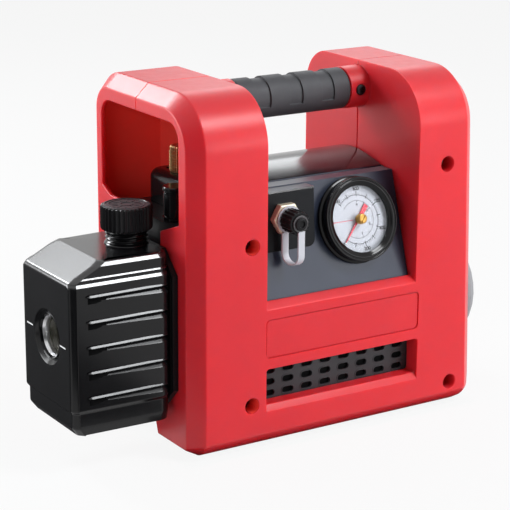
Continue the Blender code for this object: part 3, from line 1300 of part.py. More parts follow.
def cooling_fan(finish, spindle):
    hub = bmesh.new()
    end = FAN_START + FAN_WIDTH
    add_turned(hub, tube_profile(SHAFT_RADIUS + RUNNING_GAP, FAN_HUB_RADIUS, FAN_START, end), "x", ring=True)
    fan = solid("cooling_fan", hub, finish, spindle)
    half = FAN_BLADE_THICKNESS / 2
    for k in range(FAN_BLADES):
        turn = math.tau * k / FAN_BLADES
        out = Vector((math.cos(turn), math.sin(turn)))
        side = Vector((-out.y, out.x)) * half
        root = out * (FAN_HUB_RADIUS - EDGE)
        tip = out * FAN_RADIUS
        blade = bmesh.new()
        outline = [root - side, tip - side, tip + side, root + side]
        add_prism(blade, outline, "x", FAN_START + EDGE, end - EDGE)
        fuse(fan, f"cooling_fan_blade_{k}", blade, spindle)


def fan_cowl(finish, pump):
    shape = bmesh.new()
    inner = COWL_RADIUS - COWL_WALL
    profile = [(inner, COWL_START), (COWL_RADIUS, COWL_START)]
    profile += [(r, x) for x, r in arc((COWL_END - COWL_ROUND, COWL_RADIUS - COWL_ROUND), COWL_ROUND, 90, 0)]
    profile += [(0.0, COWL_END), (0.0, COWL_END - COWL_WALL)]
    curve = arc((COWL_END - COWL_ROUND, COWL_RADIUS - COWL_ROUND), COWL_ROUND - COWL_WALL, 0, 90)
    profile += [(r, x) for x, r in curve]
    add_turned(shape, profile, "x", DRIVE_CENTRE, ring=True)
    cowl = solid("fan_cowl", shape, finish, pump)
    slots = bmesh.new()
    for k in range(COWL_SLOTS):
        turn = math.tau * (k + 0.5) / COWL_SLOTS
        out = Vector((math.cos(turn), math.sin(turn)))
        side = Vector((-out.y, out.x)) * (COWL_SLOT_WIDTH / 2)
        middle = Vector((DRIVE_Y, DRIVE_Z))
        root = middle + out * COWL_SLOT_INNER
        tip = middle + out * COWL_SLOT_OUTER
        outline = [root - side, tip - side, tip + side, root + side]
        add_prism(slots, outline, "x", COWL_END - COWL_WALL - CUT_MARGIN, COWL_END + CUT_MARGIN)
    cut(cowl, "fan_cowl_slots", slots, pump)


def motor_supports(steel, black, pump):
    """The saddle that carries the motor on the base, and the run capacitor beside it."""
    shape = bmesh.new()
    near = DRIVE_Y - CRADLE_HALF_WIDTH
    far = DRIVE_Y + CRADLE_HALF_WIDTH
    floor = SHELL_WALL + FIT_GAP
    step = -(CHANNEL_HALF + SHELL_WALL + FIT_GAP)
    ledge = CHANNEL_HEIGHT + SHELL_WALL + FIT_GAP
    radius = MOTOR_RADIUS + FIT_GAP
    angle = math.degrees(math.asin((DRIVE_Z - CRADLE_TOP) / radius))
    outline = [(near, CRADLE_TOP), (near, floor), (step, floor)]
    outline += [(step, ledge), (far, ledge), (far, CRADLE_TOP)]
    outline += arc((DRIVE_Y, DRIVE_Z), radius, -angle, -180 + angle, 2 * ARC_STEPS)
    add_prism(shape, outline, "x", CRADLE_START, CRADLE_START + CRADLE_LENGTH)
    solid("motor_cradle", shape, steel, pump)
    can = bmesh.new()
    profile = disc_profile(CAPACITOR_RADIUS, CAPACITOR_X, CAPACITOR_X + CAPACITOR_LENGTH)
    add_turned(can, profile, "x", (0.0, CAPACITOR_Y, SHELL_WALL + FIT_GAP + CAPACITOR_RADIUS), SMALL_STEPS)
    solid("capacitor", can, black, pump)


# Valves and mains


def valves(black, brass, steel, pump):
    floor = SHELF_TOP + FIT_GAP
    top = floor + BLOCK_HEIGHT
    shape = bmesh.new()
    outline = [(-BLOCK_FRONT, floor), (BLOCK_REAR, floor)]
    outline += arc((BLOCK_REAR - BLOCK_ROUND, top - BLOCK_ROUND), BLOCK_ROUND, 0, 90)
    outline += arc((-BLOCK_FRONT + BLOCK_ROUND, top - BLOCK_ROUND), BLOCK_ROUND, 90, 180)
    add_prism(shape, outline, "x", BLOCK_X, BLOCK_X + BLOCK_LENGTH)
    block = solid("valve_block", shape, black, pump)
    stem_bottom = top - KNOB_STEM_LENGTH
    hole = bmesh.new()
    profile = disc_profile(KNOB_STEM_RADIUS + FIT_GAP, stem_bottom - FIT_GAP, top + CUT_MARGIN)
    add_turned(hole, profile, "z", (KNOB_X, KNOB_Y, 0.0), SMALL_STEPS)
    cut(block, "valve_block_stem_hole", hole, pump)
    knob = bmesh.new()
    seat = top + FIT_GAP
    knob_top = seat + KNOB_HEIGHT
    profile = [(0.0, stem_bottom), (KNOB_STEM_RADIUS, stem_bottom), (KNOB_STEM_RADIUS, seat),
               (KNOB_RADIUS, seat), (KNOB_RADIUS, knob_top - EDGE / 2),
               (KNOB_RADIUS - EDGE / 2, knob_top), (0.0, knob_top)]
    add_turned(knob, profile, "z", (KNOB_X, KNOB_Y, 0.0))
    solid("gas_ballast_knob", knob, brass, pump, (KNOB_X, KNOB_Y, seat))

    coil = bmesh.new()
    coil_top = floor + COIL_HEIGHT
    ceiling = coil_top - COIL_CAP
    profile = [(COIL_BORE, floor), (COIL_RADIUS, floor), (COIL_RADIUS, coil_top), (0.0, coil_top),
               (0.0, ceiling), (COIL_BORE, ceiling)]
    add_turned(coil, profile, "z", (COIL_X, COIL_Y, 0.0), SMALL_STEPS, ring=True)
    solid("solenoid_coil", coil, black, pump)
    plunger = bmesh.new()
    profile = disc_profile(PLUNGER_RADIUS, floor, ceiling - PLUNGER_TRAVEL - PLUNGER_TOP_GAP)
    add_turned(plunger, profile, "z", (COIL_X, COIL_Y, 0.0), SMALL_STEPS)
    solid("solenoid_plunger", plunger, steel, pump, (COIL_X, COIL_Y, floor))


def intake_pipe(finish, pump):
    """A bent tube from the valve block to the back of the suction fitting."""
    start = BLOCK_X + BLOCK_LENGTH + FIT_GAP
    end_y = INLET_FACE_Y + INLET_SHANK_LENGTH + FIT_GAP
    first = Vector((start, PIPE_Y, PIPE_Z))
    corner = Vector((INLET_X, PIPE_Y, PIPE_Z))
    last = Vector((INLET_X, end_y, INLET_Z))
    lead_in = Vector((start + EDGE, PIPE_Y, PIPE_Z))
    lead_out = Vector((INLET_X, end_y + EDGE, INLET_Z))
    points = [first]
    for k in range(2 * ARC_STEPS + 1):
        t = k / (2 * ARC_STEPS)
        points.append(lead_in * (1 - t) ** 2 + corner * (2 * t * (1 - t)) + lead_out * t**2)
    points.append(last)
    curve = bpy.data.curves.new("intake_pipe", "CURVE")
    curve.dimensions = "3D"
    curve.bevel_depth = PIPE_RADIUS
    curve.bevel_resolution = 2
    curve.use_fill_caps = True
    spline = curve.splines.new("POLY")
    spline.points.add(len(points) - 1)
    for target, point in zip(spline.points, points):
        target.co = (*point, 1.0)
    curve.materials.append(finish)
    pipe = bpy.data.objects.new("intake_pipe", curve)
    pipe.parent = pump
    bpy.context.scene.collection.objects.link(pipe)


def power_inlet(finish, frame):
    """Mains inlet let into the right end, with its three contact blades."""
    face = FIT_GAP
    half = SOCKET_WIDTH / 2
    rise = SOCKET_HEIGHT / 2
    over = SOCKET_FLANGE
    mouth = face + SOCKET_FLANGE_THICKNESS
    flange = bmesh.new()
    add_box(flange, (face, -half - over, -rise - over), (mouth, half + over, rise + over))
    piece = solid("power_inlet", flange, finish, frame)
    body = bmesh.new()
    add_box(body, (face - SOCKET_DEPTH, -half, -rise), (face + EDGE / 2, half, rise))
    fuse(piece, "power_inlet_body", body, frame)
    well = bmesh.new()
    wall = SOCKET_WELL_WALL
    floor = mouth - SOCKET_WELL_DEPTH
    outline = cut_corners((-half + wall, -rise + wall), (half - wall, rise - wall), wall)
    add_prism(well, outline, "x", floor, mouth + CUT_MARGIN)
    cut(piece, "power_inlet_well", well, frame)
    for k in (-1, 0, 1):
        pin = bmesh.new()
        y = k * half / 2
        z = SOCKET_PIN_WIDTH * (1 - 2 * abs(k))
        add_box(pin, (floor - EDGE / 2, y - SOCKET_PIN_WIDTH / 2, z - SOCKET_PIN_WIDTH),
                (mouth - EDGE, y + SOCKET_PIN_WIDTH / 2, z + SOCKET_PIN_WIDTH))
        fuse(piece, f"power_inlet_pin_{k + 1}", pin, frame)


def power_switch(finish, frame):
    """Rocker switch let into the right end; the rocker is drawn tilted to its off side."""
    face = FIT_GAP
    half = SWITCH_WIDTH / 2
    rise = SWITCH_HEIGHT / 2
    over = SWITCH_WALL
    mouth = face + SWITCH_WALL
    flange = bmesh.new()
    add_box(flange, (face, -half - over, -rise - over), (mouth, half + over, rise + over))
    piece = solid("switch_frame", flange, finish, frame)
    body = bmesh.new()
    add_box(body, (face - SWITCH_DEPTH, -half, -rise), (face + SWITCH_WALL / 2, half, rise))
    fuse(piece, "switch_frame_body", body, frame)
    pocket = bmesh.new()
    add_box(pocket, (face - SWITCH_DEPTH + SWITCH_WALL, -half + SWITCH_WALL, -rise + SWITCH_WALL),
            (mouth + CUT_MARGIN, half - SWITCH_WALL, rise - SWITCH_WALL))
    cut(piece, "switch_frame_pocket", pocket, frame)

    rocker = bmesh.new()
    pivot = face - SWITCH_PIVOT_DEPTH
    half_length = rise - SWITCH_WALL - ROCKER_CLEARANCE
    half_width = half - SWITCH_WALL - FIT_GAP
    tilt = math.radians(ROCKER_TILT)
    crown = mouth + ROCKER_RISE - pivot
    drop = half_length * math.tan(tilt)
    outline = [(crown - drop, -half_length), (crown - 2 * drop / 3, 0.0), (crown - drop, half_length),
               (-EDGE / 2, half_length - drop), (-ROCKER_KEEL, 0.0), (-EDGE / 2, -half_length + drop)]
    turned = []
    for x, z in outline:
        along = pivot + x * math.cos(tilt) - z * math.sin(tilt)
        turned.append((along, x * math.sin(tilt) + z * math.cos(tilt)))
    add_prism(rocker, turned, "y", -half_width, half_width)
    solid("power_switch", rocker, finish, frame, (pivot, 0.0, 0.0))


def build():
    clear_scene()
    middle_x = (COWL_END - TANK_FRONT) / 2
    middle_y = (REAR_DEPTH + INLET_TIP_Y) / 2
    pump = empty("pump", (-middle_x, -middle_y, -FOOT_BOTTOM))
    spindle = empty("spindle", (0.0, DRIVE_Y, DRIVE_Z), pump)
    tilt = (0.0, -math.atan(END_LEAN), 0.0)
    frames = {}
    for part, z in (("socket", SOCKET_Z), ("switch", SWITCH_Z)):
        frames[part] = empty(f"{part}_place", (HOUSING_LENGTH + end_lean(z), 0.0, z), pump, tilt)
    gauge_y = -PANEL_FOOT_Y + (GAUGE_Z - PANEL_FOOT_Z) * math.tan(PANEL_LEAN)
    lean = (math.pi / 2 - PANEL_LEAN, 0.0, 0.0)
    gauge_frame = empty("gauge_frame", (GAUGE_X, gauge_y, GAUGE_Z), pump, lean)

    red = material("red_moulding", (0.62, 0.035, 0.045), 0.38)
    black = material("black_plastic", (0.020, 0.020, 0.022), 0.42)
    panel = material("panel_grey", (0.060, 0.063, 0.070), 0.45)
    rubber = material("black_rubber", (0.045, 0.046, 0.050), 0.65)
    gloss = material("gloss_black", (0.012, 0.012, 0.014), 0.22)
    steel = material("steel", (0.60, 0.61, 0.62), 0.32, 1.0)
    cast = material("cast_metal", (0.40, 0.41, 0.42), 0.48, 1.0)
    brass = material("brass", (0.75, 0.58, 0.28), 0.30, 1.0)
    copper = material("copper", (0.62, 0.33, 0.18), 0.40, 1.0)
    carbon = material("carbon", (0.055, 0.055, 0.058), 0.55)
    white = material("white_plastic", (0.86, 0.86, 0.87), 0.40)
    pointer = material("pointer_red", (0.70, 0.03, 0.08), 0.35)
    glass = material("clear_glass", (0.90, 0.92, 0.92), 0.05)
    grey = material("grey_paint", (0.34, 0.35, 0.36), 0.40)

    shell(FRONT, red, pump)
    shell(REAR, red, pump)
    shell_screws(steel, pump)
    feet(rubber, pump)
    handle(rubber, steel, black, pump)
    panel_cover(panel, pump, gauge_frame)
    gauge(black, white, pointer, glass, gauge_frame)
    suction_port(brass, black, white, pump)
    vent_grille(black, pump)
    pump_flange(black, pump)
    pump_stages(cast, steel, carbon, pump, spindle)
    drive_shaft(steel, pump, spindle)
    oil_tank(gloss, pump)
    tank_fittings(black, rubber, steel, glass, brass, pump)
    motor(black, copper, steel, grey, pump, spindle)
    cooling_fan(black, spindle)
    fan_cowl(grey, pump)
    motor_supports(steel, black, pump)
    valves(black, brass, steel, pump)
    intake_pipe(rubber, pump)
    power_inlet(black, frames["socket"])
    power_switch(black, frames["switch"])


build()
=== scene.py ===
"""Looks of a two-stage rotary vane vacuum pump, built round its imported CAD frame.

Shapes are drawn in millimetres in the machine's own frame: x = 0 is the housing's left end, y = 0 its
parting plane and z = 0 its underside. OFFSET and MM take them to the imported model's frame in metres.
"""

import json
import math

import bmesh
import bpy
from mathutils import Matrix, Vector

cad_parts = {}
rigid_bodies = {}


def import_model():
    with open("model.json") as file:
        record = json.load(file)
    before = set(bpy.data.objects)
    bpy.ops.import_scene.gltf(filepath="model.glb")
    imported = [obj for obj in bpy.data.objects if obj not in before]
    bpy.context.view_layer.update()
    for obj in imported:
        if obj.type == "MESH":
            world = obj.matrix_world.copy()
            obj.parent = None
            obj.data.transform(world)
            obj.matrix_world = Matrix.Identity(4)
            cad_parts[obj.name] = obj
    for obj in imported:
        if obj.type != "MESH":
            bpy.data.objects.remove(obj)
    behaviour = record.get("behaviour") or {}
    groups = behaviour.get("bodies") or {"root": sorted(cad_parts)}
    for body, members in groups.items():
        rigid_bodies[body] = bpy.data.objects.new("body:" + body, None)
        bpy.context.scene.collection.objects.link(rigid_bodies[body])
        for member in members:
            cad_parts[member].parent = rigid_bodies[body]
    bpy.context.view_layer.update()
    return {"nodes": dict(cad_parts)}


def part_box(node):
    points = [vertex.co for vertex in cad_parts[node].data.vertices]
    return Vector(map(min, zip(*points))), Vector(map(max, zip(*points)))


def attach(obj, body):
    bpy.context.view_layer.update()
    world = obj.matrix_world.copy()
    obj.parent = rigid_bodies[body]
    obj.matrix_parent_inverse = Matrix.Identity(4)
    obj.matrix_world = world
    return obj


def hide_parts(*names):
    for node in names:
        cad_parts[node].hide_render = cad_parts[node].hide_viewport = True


for old in list(bpy.data.objects):
    bpy.data.objects.remove(old, do_unlink=True)

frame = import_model()
NODES = frame["nodes"]
MM = 0.001
TANK_REACH, FRONT_REACH = 0.0735, 0.070
OFFSET = Vector((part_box("oil_tank")[0].x + TANK_REACH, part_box("front_shell")[0].y + FRONT_REACH,
                 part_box("front_shell")[0].z))
ROOT = "pump_body"


# Materials

def settle(node, **values):
    """Sets a node's inputs by name, with _ for a space."""
    for key, value in values.items():
        node.inputs[key.replace("_", " ")].default_value = value
    return node


def node_tree(name):
    made = bpy.data.materials.new(name)
    made.use_nodes = True
    tree = made.node_tree
    return made, tree, tree.nodes["Principled BSDF"]


def add_node(tree, kind, **inputs):
    return settle(tree.nodes.new(kind), **inputs)


def wire(tree, source, node, socket):
    tree.links.new(source, node.inputs[socket])


def noise(tree, scale, detail=3, stretch=None):
    """A noise over the piece's own coordinates, in metres, optionally stretched."""
    where = tree.nodes.new("ShaderNodeTexCoord").outputs["Object"]
    if stretch:
        mapping = add_node(tree, "ShaderNodeMapping", Scale=stretch)
        wire(tree, where, mapping, "Vector")
        where = mapping.outputs["Vector"]
    made = add_node(tree, "ShaderNodeTexNoise", Scale=scale, Detail=detail)
    wire(tree, where, made, "Vector")
    return made.outputs["Fac"]


def ramp(tree, source, low, high):
    made = tree.nodes.new("ShaderNodeValToRGB")
    for element, position, colour in zip(made.color_ramp.elements, (0.3, 0.7), (low, high)):
        element.position = position
        element.color = (*colour, 1)
    wire(tree, source, made, "Fac")
    return made.outputs["Color"]


def spread(tree, source, low, high):
    made = add_node(tree, "ShaderNodeMapRange", To_Min=low, To_Max=high)
    wire(tree, source, made, "Value")
    return made.outputs["Result"]


def bump(tree, source, strength, distance):
    made = add_node(tree, "ShaderNodeBump", Strength=strength, Distance=distance)
    wire(tree, source, made, "Height")
    return made.outputs["Normal"]


def tint(colour, share):
    return tuple(min(1, max(0, c * share)) for c in colour)


def dress(tree, shader, tone, colour, mottle, gloss, rough, waver):
    """Mottles the colour by one noise and varies the roughness by another."""
    wire(tree, ramp(tree, tone, tint(colour, 1 - mottle), tint(colour, 1 + mottle)), shader, "Base Color")
    wire(tree, spread(tree, gloss, rough * (1 - waver), rough * (1 + waver)), shader, "Roughness")


def moulded(name, colour, rough, grain=1400, depth=3e-5, mottle=0.06, specular=0.5, coat=0, depth_light=0):
    """Moulded or painted surface: slow mottling, a fine grain and uneven gloss."""
    made, tree, shader = node_tree(name)
    dress(tree, shader, noise(tree, 22, 4), colour, mottle, noise(tree, 160, 4), rough, 0.15)
    wire(tree, bump(tree, noise(tree, grain, 2), 0.35, depth), shader, "Normal")
    settle(shader, Coat_Weight=coat, Coat_Roughness=0.12, Specular_IOR_Level=specular,
           Subsurface_Weight=depth_light, Subsurface_Radius=(1, 0.06, 0.04), Subsurface_Scale=0.006)
    return made


def metal(name, colour, rough, stretch=None, mottle=0.1, depth=2e-5, grain=900, share=1):
    """Machined or cast metal with tool marks along a direction."""
    made, tree, shader = node_tree(name)
    marks = noise(tree, grain, 3, stretch)
    dress(tree, shader, marks, colour, mottle, noise(tree, 220, 4), rough, 0.25)
    wire(tree, bump(tree, marks, 0.4, depth), shader, "Normal")
    settle(shader, Metallic=share)
    return made


def clear(name, colour, alpha=0.03, rough=0.03, coat=1):
    """A thin clear pane: mostly see-through, with its gloss."""
    made, tree, shader = node_tree(name)
    wire(tree, ramp(tree, noise(tree, 60), tint(colour, 0.96), colour), shader, "Base Color")
    wire(tree, spread(tree, noise(tree, 90, 2), rough, rough * 2), shader, "Roughness")
    settle(shader, Alpha=alpha, Coat_Weight=coat)
    return made


# Name, colour and roughness, then the grain's scale, its depth in metres, the mottling and the specular.
RED = moulded("red_moulding", (0.64, 0.0205, 0.031), 0.36, 1500, 4e-5, 0.03, 0.38, depth_light=0.8)
BLACK = moulded("black_plastic", (0.009, 0.0088, 0.0095), 0.32, mottle=0.2, specular=0.3)
# A lighter matt black for the cap's upward faces: partly its matt finish, partly painted light on the top.
MATT_LIT_TOP = moulded("matt_black_and_painted_light", (0.08, 0.074, 0.082), 0.5, 1800, 6e-5, 0.2)
SATIN = moulded("satin_black", (0.01, 0.0095, 0.0105), 0.3, 1100, 4e-5, 0.2, 0.14)
PANEL = moulded("panel_black", (0.022, 0.028, 0.048), 0.3, 900, 5e-5, 0.15, 0.3)
DOME = moulded("dome_black", (0.012, 0.012, 0.015), 0.16, 900, 1e-5, 0.15, 0.85)
BEZEL = moulded("bezel_black", (0.0045, 0.0043, 0.0048), 0.13, 900, 1e-5, 0.2, 0.2)
# A dead black without gloss: painted shade in the tank's notches, on the strips behind the grille and on the
# gasket.
SHADE_BLACK = moulded("dull_black_painted_shade", (0.003, 0.003, 0.0032), 0.7, mottle=0.2, specular=0.05)
# A brighter copy of the red for the housing's inner faces: painted light inside the towers.
LIT_RED_INSIDE = moulded("red_inside_painted_light", (0.95, 0.075, 0.055), 0.42, 1500, 4e-5, 0.04)
SMOKE = moulded("smoke_grey", (0.075, 0.07, 0.074), 0.22, 900, mottle=0.1)
GLOSS = moulded("gloss_black", (0.0045, 0.0044, 0.005), 0.2, 700, 1.2e-5, 0.25, 0.31)
# A darker copy of the panel black for the pad's face: painted shade.
PAD = moulded("pad_black_painted_shade", (0.0065, 0.007, 0.0085), 0.3, 900, 4e-5, 0.2, 0.16)
GRILLE = moulded("grille_black", (0.026, 0.025, 0.028), 0.45, 1500, 5e-5, 0.2, 0.4)
LID = moulded("gloss_black_lid", (0.0045, 0.0044, 0.0052), 0.2, 700, 1.2e-5, 0.25, 0.8)
RUBBER = moulded("black_rubber", (0.038, 0.038, 0.043), 0.6, 1300, 1.2e-4, 0.12)
WHITE = moulded("white_plastic", (0.5, 0.5, 0.54), 0.4, 600, mottle=0.02)
FACE = moulded("dial_white", (0.53, 0.545, 0.6), 0.55, 2500, mottle=0.01)
INK = moulded("dial_ink", (0.015, 0.015, 0.018), 0.6, mottle=0.2)
SCARLET = moulded("pointer_red", (0.7, 0.01, 0.045), 0.35, mottle=0.05)
MARK = moulded("mark_white", (0.82, 0.82, 0.82), 0.5, mottle=0.03)
GREY = moulded("grey_paint", (0.24, 0.24, 0.25), 0.38, 1200, mottle=0.08)
CARBON = moulded("carbon", (0.05, 0.05, 0.052), 0.55, 1600, mottle=0.25)
# Olive lighter than the dark bowl around it: partly the oil's own colour, partly a painted highlight in the
# middle of the sight glass.
OIL_AND_GLINT = moulded("oil", (0.11, 0.095, 0.022), 0.12, 300, mottle=0.3, coat=0.6)
# Name, colour and roughness, then how the tool marks are stretched.
STEEL = metal("steel", (0.6, 0.61, 0.62), 0.28, (1, 14, 14))
DARK_STEEL = metal("dark_steel", (0.035, 0.035, 0.038), 0.35)
BRASS = metal("brass", (0.74, 0.59, 0.37), 0.27, (12, 1, 12), depth=1e-5)
NUT = metal("pale_brass", (0.74, 0.69, 0.52), 0.34, (12, 1, 12), depth=1e-5, share=0.4)
KNURL = metal("knurled_brass", (0.52, 0.33, 0.17), 0.46, mottle=0.25, depth=3e-5)
HUB = metal("hub_brass", (0.46, 0.27, 0.075), 0.36, depth=1e-5)
CAST = metal("cast_metal", (0.38, 0.39, 0.4), 0.48, mottle=0.18, depth=8e-5, grain=420)
COPPER = metal("copper", (0.62, 0.31, 0.16), 0.38, (1, 30, 30))
# Near-black brass for the bowl behind the sight lens: painted shade inside the sight glass.
SHADE_BRASS = metal("dark_brass_painted_shade", (0.012, 0.01, 0.004), 0.2, mottle=0.2)
RING = metal("sight_ring_steel", (0.8, 0.8, 0.82), 0.33, depth=1e-5)
LENS = clear("clear_lens", (0.6, 0.62, 0.64))
SIGHT = clear("sight_lens", (0.2, 0.19, 0.12), coat=0)


# Shapes

def place(axis, along, flat):
    point = list(flat)
    point.insert("xyz".index(axis), along)
    return Vector(point)


def loft(loops, shape=None):
    shape = shape or bmesh.new()
    rings = [[shape.verts.new(point) for point in loop] for loop in loops]
    for first, second in zip(rings, rings[1:]):
        for i in range(len(first)):
            j = (i + 1) % len(first)
            shape.faces.new((first[i], first[j], second[j], second[i]))
    shape.faces.new(rings[0])
    shape.faces.new(rings[-1])
    return shape


def prism(outline, axis, start, end, shape=None):
    return loft([[place(axis, along, flat) for flat in outline] for along in (start, end)], shape)


def block(low, high, shape=None):
    outline = [(low[0], low[1]), (high[0], low[1]), (high[0], high[1]), (low[0], high[1])]
    return prism(outline, "z", low[2], high[2], shape)


def turned(profile, axis, centre=(0, 0, 0), steps=64, ring=False, shape=None):
    """Turns (radius, along) points about an axis; a ring's profile closes on itself."""
    shape = shape or bmesh.new()
    index = "xyz".index(axis)
    across = [value for i, value in enumerate(centre) if i != index]
    rings = []
    for radius, along in profile:
        points = []
        for k in range(steps if radius > 0 else 1):
            turn = math.tau * k / steps
            flat = (across[0] + radius * math.cos(turn), across[1] + radius * math.sin(turn))
            points.append(shape.verts.new(place(axis, along + centre[index], flat)))
        rings.append(points)
    pairs = list(zip(rings, rings[1:])) + ([(rings[-1], rings[0])] if ring else [])
    for first, second in pairs:
        for k in range(steps):
            corners = [first[k % len(first)], first[(k + 1) % len(first)]]
            corners += [second[(k + 1) % len(second)], second[k % len(second)]]
            corners = list(dict.fromkeys(corners))
            if len(corners) > 2:
                shape.faces.new(corners)
    if not ring:
        for end in (rings[0], rings[-1]):
            if len(end) > 1:
                shape.faces.new(end)
    return shape


def arc(centre, radius, first, last, steps=10):
    points = []
    for k in range(steps + 1):
        turn = math.radians(first + (last - first) * k / steps)
        points.append((centre[0] + radius * math.cos(turn), centre[1] + radius * math.sin(turn)))
    return points


def drum(radius, start, end, axis, centre=(0, 0, 0), steps=64):
    return turned([(0, start), (radius, start), (radius, end), (0, end)], axis, centre, steps)


def tube(inner, outer, start, end):
    return [(inner, start), (outer, start), (outer, end), (inner, end)]


def rounded(low, high, radius, steps=6):
    left, bottom, right, top = low[0] + radius, low[1] + radius, high[0] - radius, high[1] - radius
    points = []
    for k, middle in enumerate(((right, top), (left, top), (left, bottom), (right, bottom))):
        points += arc(middle, radius, 90 * k, 90 * k + 90, steps)
    return points


def cut(shape):
    return "DIFFERENCE", shape


def add(shape):
    return "UNION", shape


def mesh_of(name, shape):
    """Turns a shape into a mesh and frees it."""
    mesh = bpy.data.meshes.new(name)
    shape.to_mesh(mesh)
    shape.free()
    return mesh


def linked(name, data):
    made = bpy.data.objects.new(name, data)
    bpy.context.scene.collection.objects.link(made)
    return made


def outward(shape):
    bmesh.ops.recalc_face_normals(shape, faces=shape.faces)
    return shape


def temporary(shape):
    return linked("temporary", mesh_of("temporary", outward(shape)))


def evaluated(made):
    bpy.context.view_layer.update()
    return bpy.data.meshes.new_from_object(made.evaluated_get(bpy.context.evaluated_depsgraph_get()))


def take_in(shape, mesh):
    shape.from_mesh(mesh)
    bpy.data.meshes.remove(mesh)
    return shape


MERGE, FLAT = 0.012, math.radians(0.4)


def carve(shape, *steps):
    """Runs the Booleans that cut() and add() name, in order, and tidies the result."""
    used = [temporary(shape)]
    for operation, other in steps:
        used.append(temporary(other))
        modifier = used[0].modifiers.new("step", "BOOLEAN")
        modifier.object = used[-1]
        modifier.operation = operation
        modifier.solver = "EXACT"
    result = take_in(bmesh.new(), evaluated(used[0]))
    for made in used:
        data = made.data
        bpy.data.objects.remove(made, do_unlink=True)
        bpy.data.meshes.remove(data)
    bmesh.ops.remove_doubles(result, verts=result.verts, dist=MERGE)
    bmesh.ops.dissolve_degenerate(result, dist=MERGE, edges=result.edges)
    bmesh.ops.dissolve_limit(result, angle_limit=FLAT, verts=result.verts, edges=result.edges)
    return result


def soften(shape, width, steps=2, least=24, where=None):
    """Rounds the edges that turn by more than an angle, except next to edges too short for it."""
    picked = set()
    for edge in outward(shape).edges:
        if len(edge.link_faces) == 2 and edge.calc_face_angle(0) > math.radians(least):
            if where is None or where((edge.verts[0].co + edge.verts[1].co) / 2):
                picked.add(edge)
    kept = []
    for edge in picked:
        others = [e for v in edge.verts for e in v.link_edges if e not in picked]
        if all(e.calc_length() > width for e in others):
            kept.append(edge)
    bmesh.ops.bevel(shape, geom=kept, offset=width, offset_type="OFFSET", segments=steps, profile=0.5,
                    affect="EDGES", clamp_overlap=False)
    return shape


def weigh_normals(made):
    made.modifiers.new("normals", "WEIGHTED_NORMAL").keep_sharp = True


def piece(name, shape, finish, replaced=(), body=ROOT, angle=32, matrix=None, weighted=True):
    """Makes a shape a piece that rides on a body and stands for CAD nodes."""
    mesh = mesh_of(name, outward(shape))
    if matrix is not None:
        mesh.transform(matrix)
    mesh.transform(Matrix.Translation(OFFSET) @ Matrix.Scale(MM, 4))
    for each in finish if isinstance(finish, list) else [finish]:
        mesh.materials.append(each)
    mesh.shade_smooth()
    mesh.set_sharp_from_angle(angle=math.radians(angle))
    made = linked(name, mesh)
    if weighted:
        weigh_normals(made)
    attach(made, body)
    if replaced:
        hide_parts(*([replaced] if isinstance(replaced, str) else replaced))
    return made


# Housing

LENGTH, HEIGHT = 222, 230
DEPTH = {-1: 70, 1: 62.5}
FILLET = {-1: 35, 1: 24}
WALL = 3
PARTING = 0.4
BEVEL_RUN, BEVEL_INSET = 9.5, 9
BOTTOM_BEVEL, CORNER_ROUND, LEFT_RISE = 9.4, 14, 5
BOTTOM_CROWN = 1.3
TOWER_LEFT, TOWER_RIGHT = 54.2, 170.8
SADDLE, LIP, LIP_DROP = 96.2, 5.8, 4.5
CHANNEL_HALF, CHANNEL_SLOPE = 25, 3
GRIP_Z, STUB, STUB_LENGTH = 212.4, 14.2, 15
DRIVE_Y, DRIVE_Z = -17, 68.5
COWL = 38.5
SCREWS = ((43.1, 134.3), (43.5, 29.6), (194.3, 169.3), (202.1, 16.2))
VENT_LOW, VENT_HIGH = (54.2, 27.5), (174, 52)
PLATE_LOW, PLATE_HIGH = (53.6, 59.3), (174, 85.3)
FRONT = -DEPTH[-1]
DRIVE = (0, DRIVE_Y, DRIVE_Z)
GRIP_AXIS = (0, 0, GRIP_Z)
STUB_MIDDLES = (TOWER_LEFT + STUB_LENGTH / 2, TOWER_RIGHT - STUB_LENGTH / 2)
WINDOW = arc((-41.6, 202), 11, 180, 90) + arc((35.7, 202), 11, 90, 0) + [
    (46.7, 156), (35.7, 150.5), (15, 150.5), (15, 118), (12, 118), (12, 43), (-46.5, 43), (-46.5, 118),
    (-29.5, 118), (-29.5, 141.8), (-52.6, 150.5)]


def lean(z):
    return 0.033 * (105 - z)


def half_profile(side, inset, low, channel, height, fillet, wall=0, parting=PARTING):
    reach = DEPTH[side] - inset
    rest = max(BOTTOM_BEVEL - inset, 2)
    top = max(channel + wall, low + 2)
    edge = CHANNEL_HALF + wall
    turn = max(fillet - inset, 2)
    points = [(parting, top), (edge - CHANNEL_SLOPE, top), (edge, low)]
    for k in range(7):
        share = k / 6
        bulge = 2.8 * BOTTOM_CROWN * share * (1 - share) * rest / BOTTOM_BEVEL
        points.append((reach - rest + rest * share + bulge, low + rest * share - bulge))
    points += arc((reach - turn, height - inset - turn), turn, 0, 90, 14)
    points.append((parting, height - inset))
    return [(side * y, z) for y, z in points]


def shell_loft(side, stations, height, fillet, wall=0, parting=PARTING):
    loops = []
    for x, inset, low in stations:
        share = min(max((x - LENGTH + BEVEL_RUN + CORNER_ROUND) / CORNER_ROUND, 0), 1)
        outline = half_profile(side, inset, low, 14 - 6 * x / LENGTH, height, fillet, wall, parting)
        loops.append([place("x", x + share * lean(flat[1]), flat) for flat in outline])
    return loft(loops)


def corner_rise(x):
    over = max(x - LENGTH + CORNER_ROUND, 0)
    return CORNER_ROUND - math.sqrt(max(CORNER_ROUND**2 - over**2, 0))


def outer_stations():
    stations = [(0, BEVEL_INSET, LEFT_RISE), (BEVEL_RUN, 0, 0)]
    start = LENGTH - BEVEL_RUN
    stations += [(start - CORNER_ROUND, 0, 0), (LENGTH - CORNER_ROUND, 0, 0)]
    for k in range(6):
        x = start + BEVEL_RUN * k / 5
        stations.append((x, BEVEL_INSET * k / 5, corner_rise(x)))
    return stations


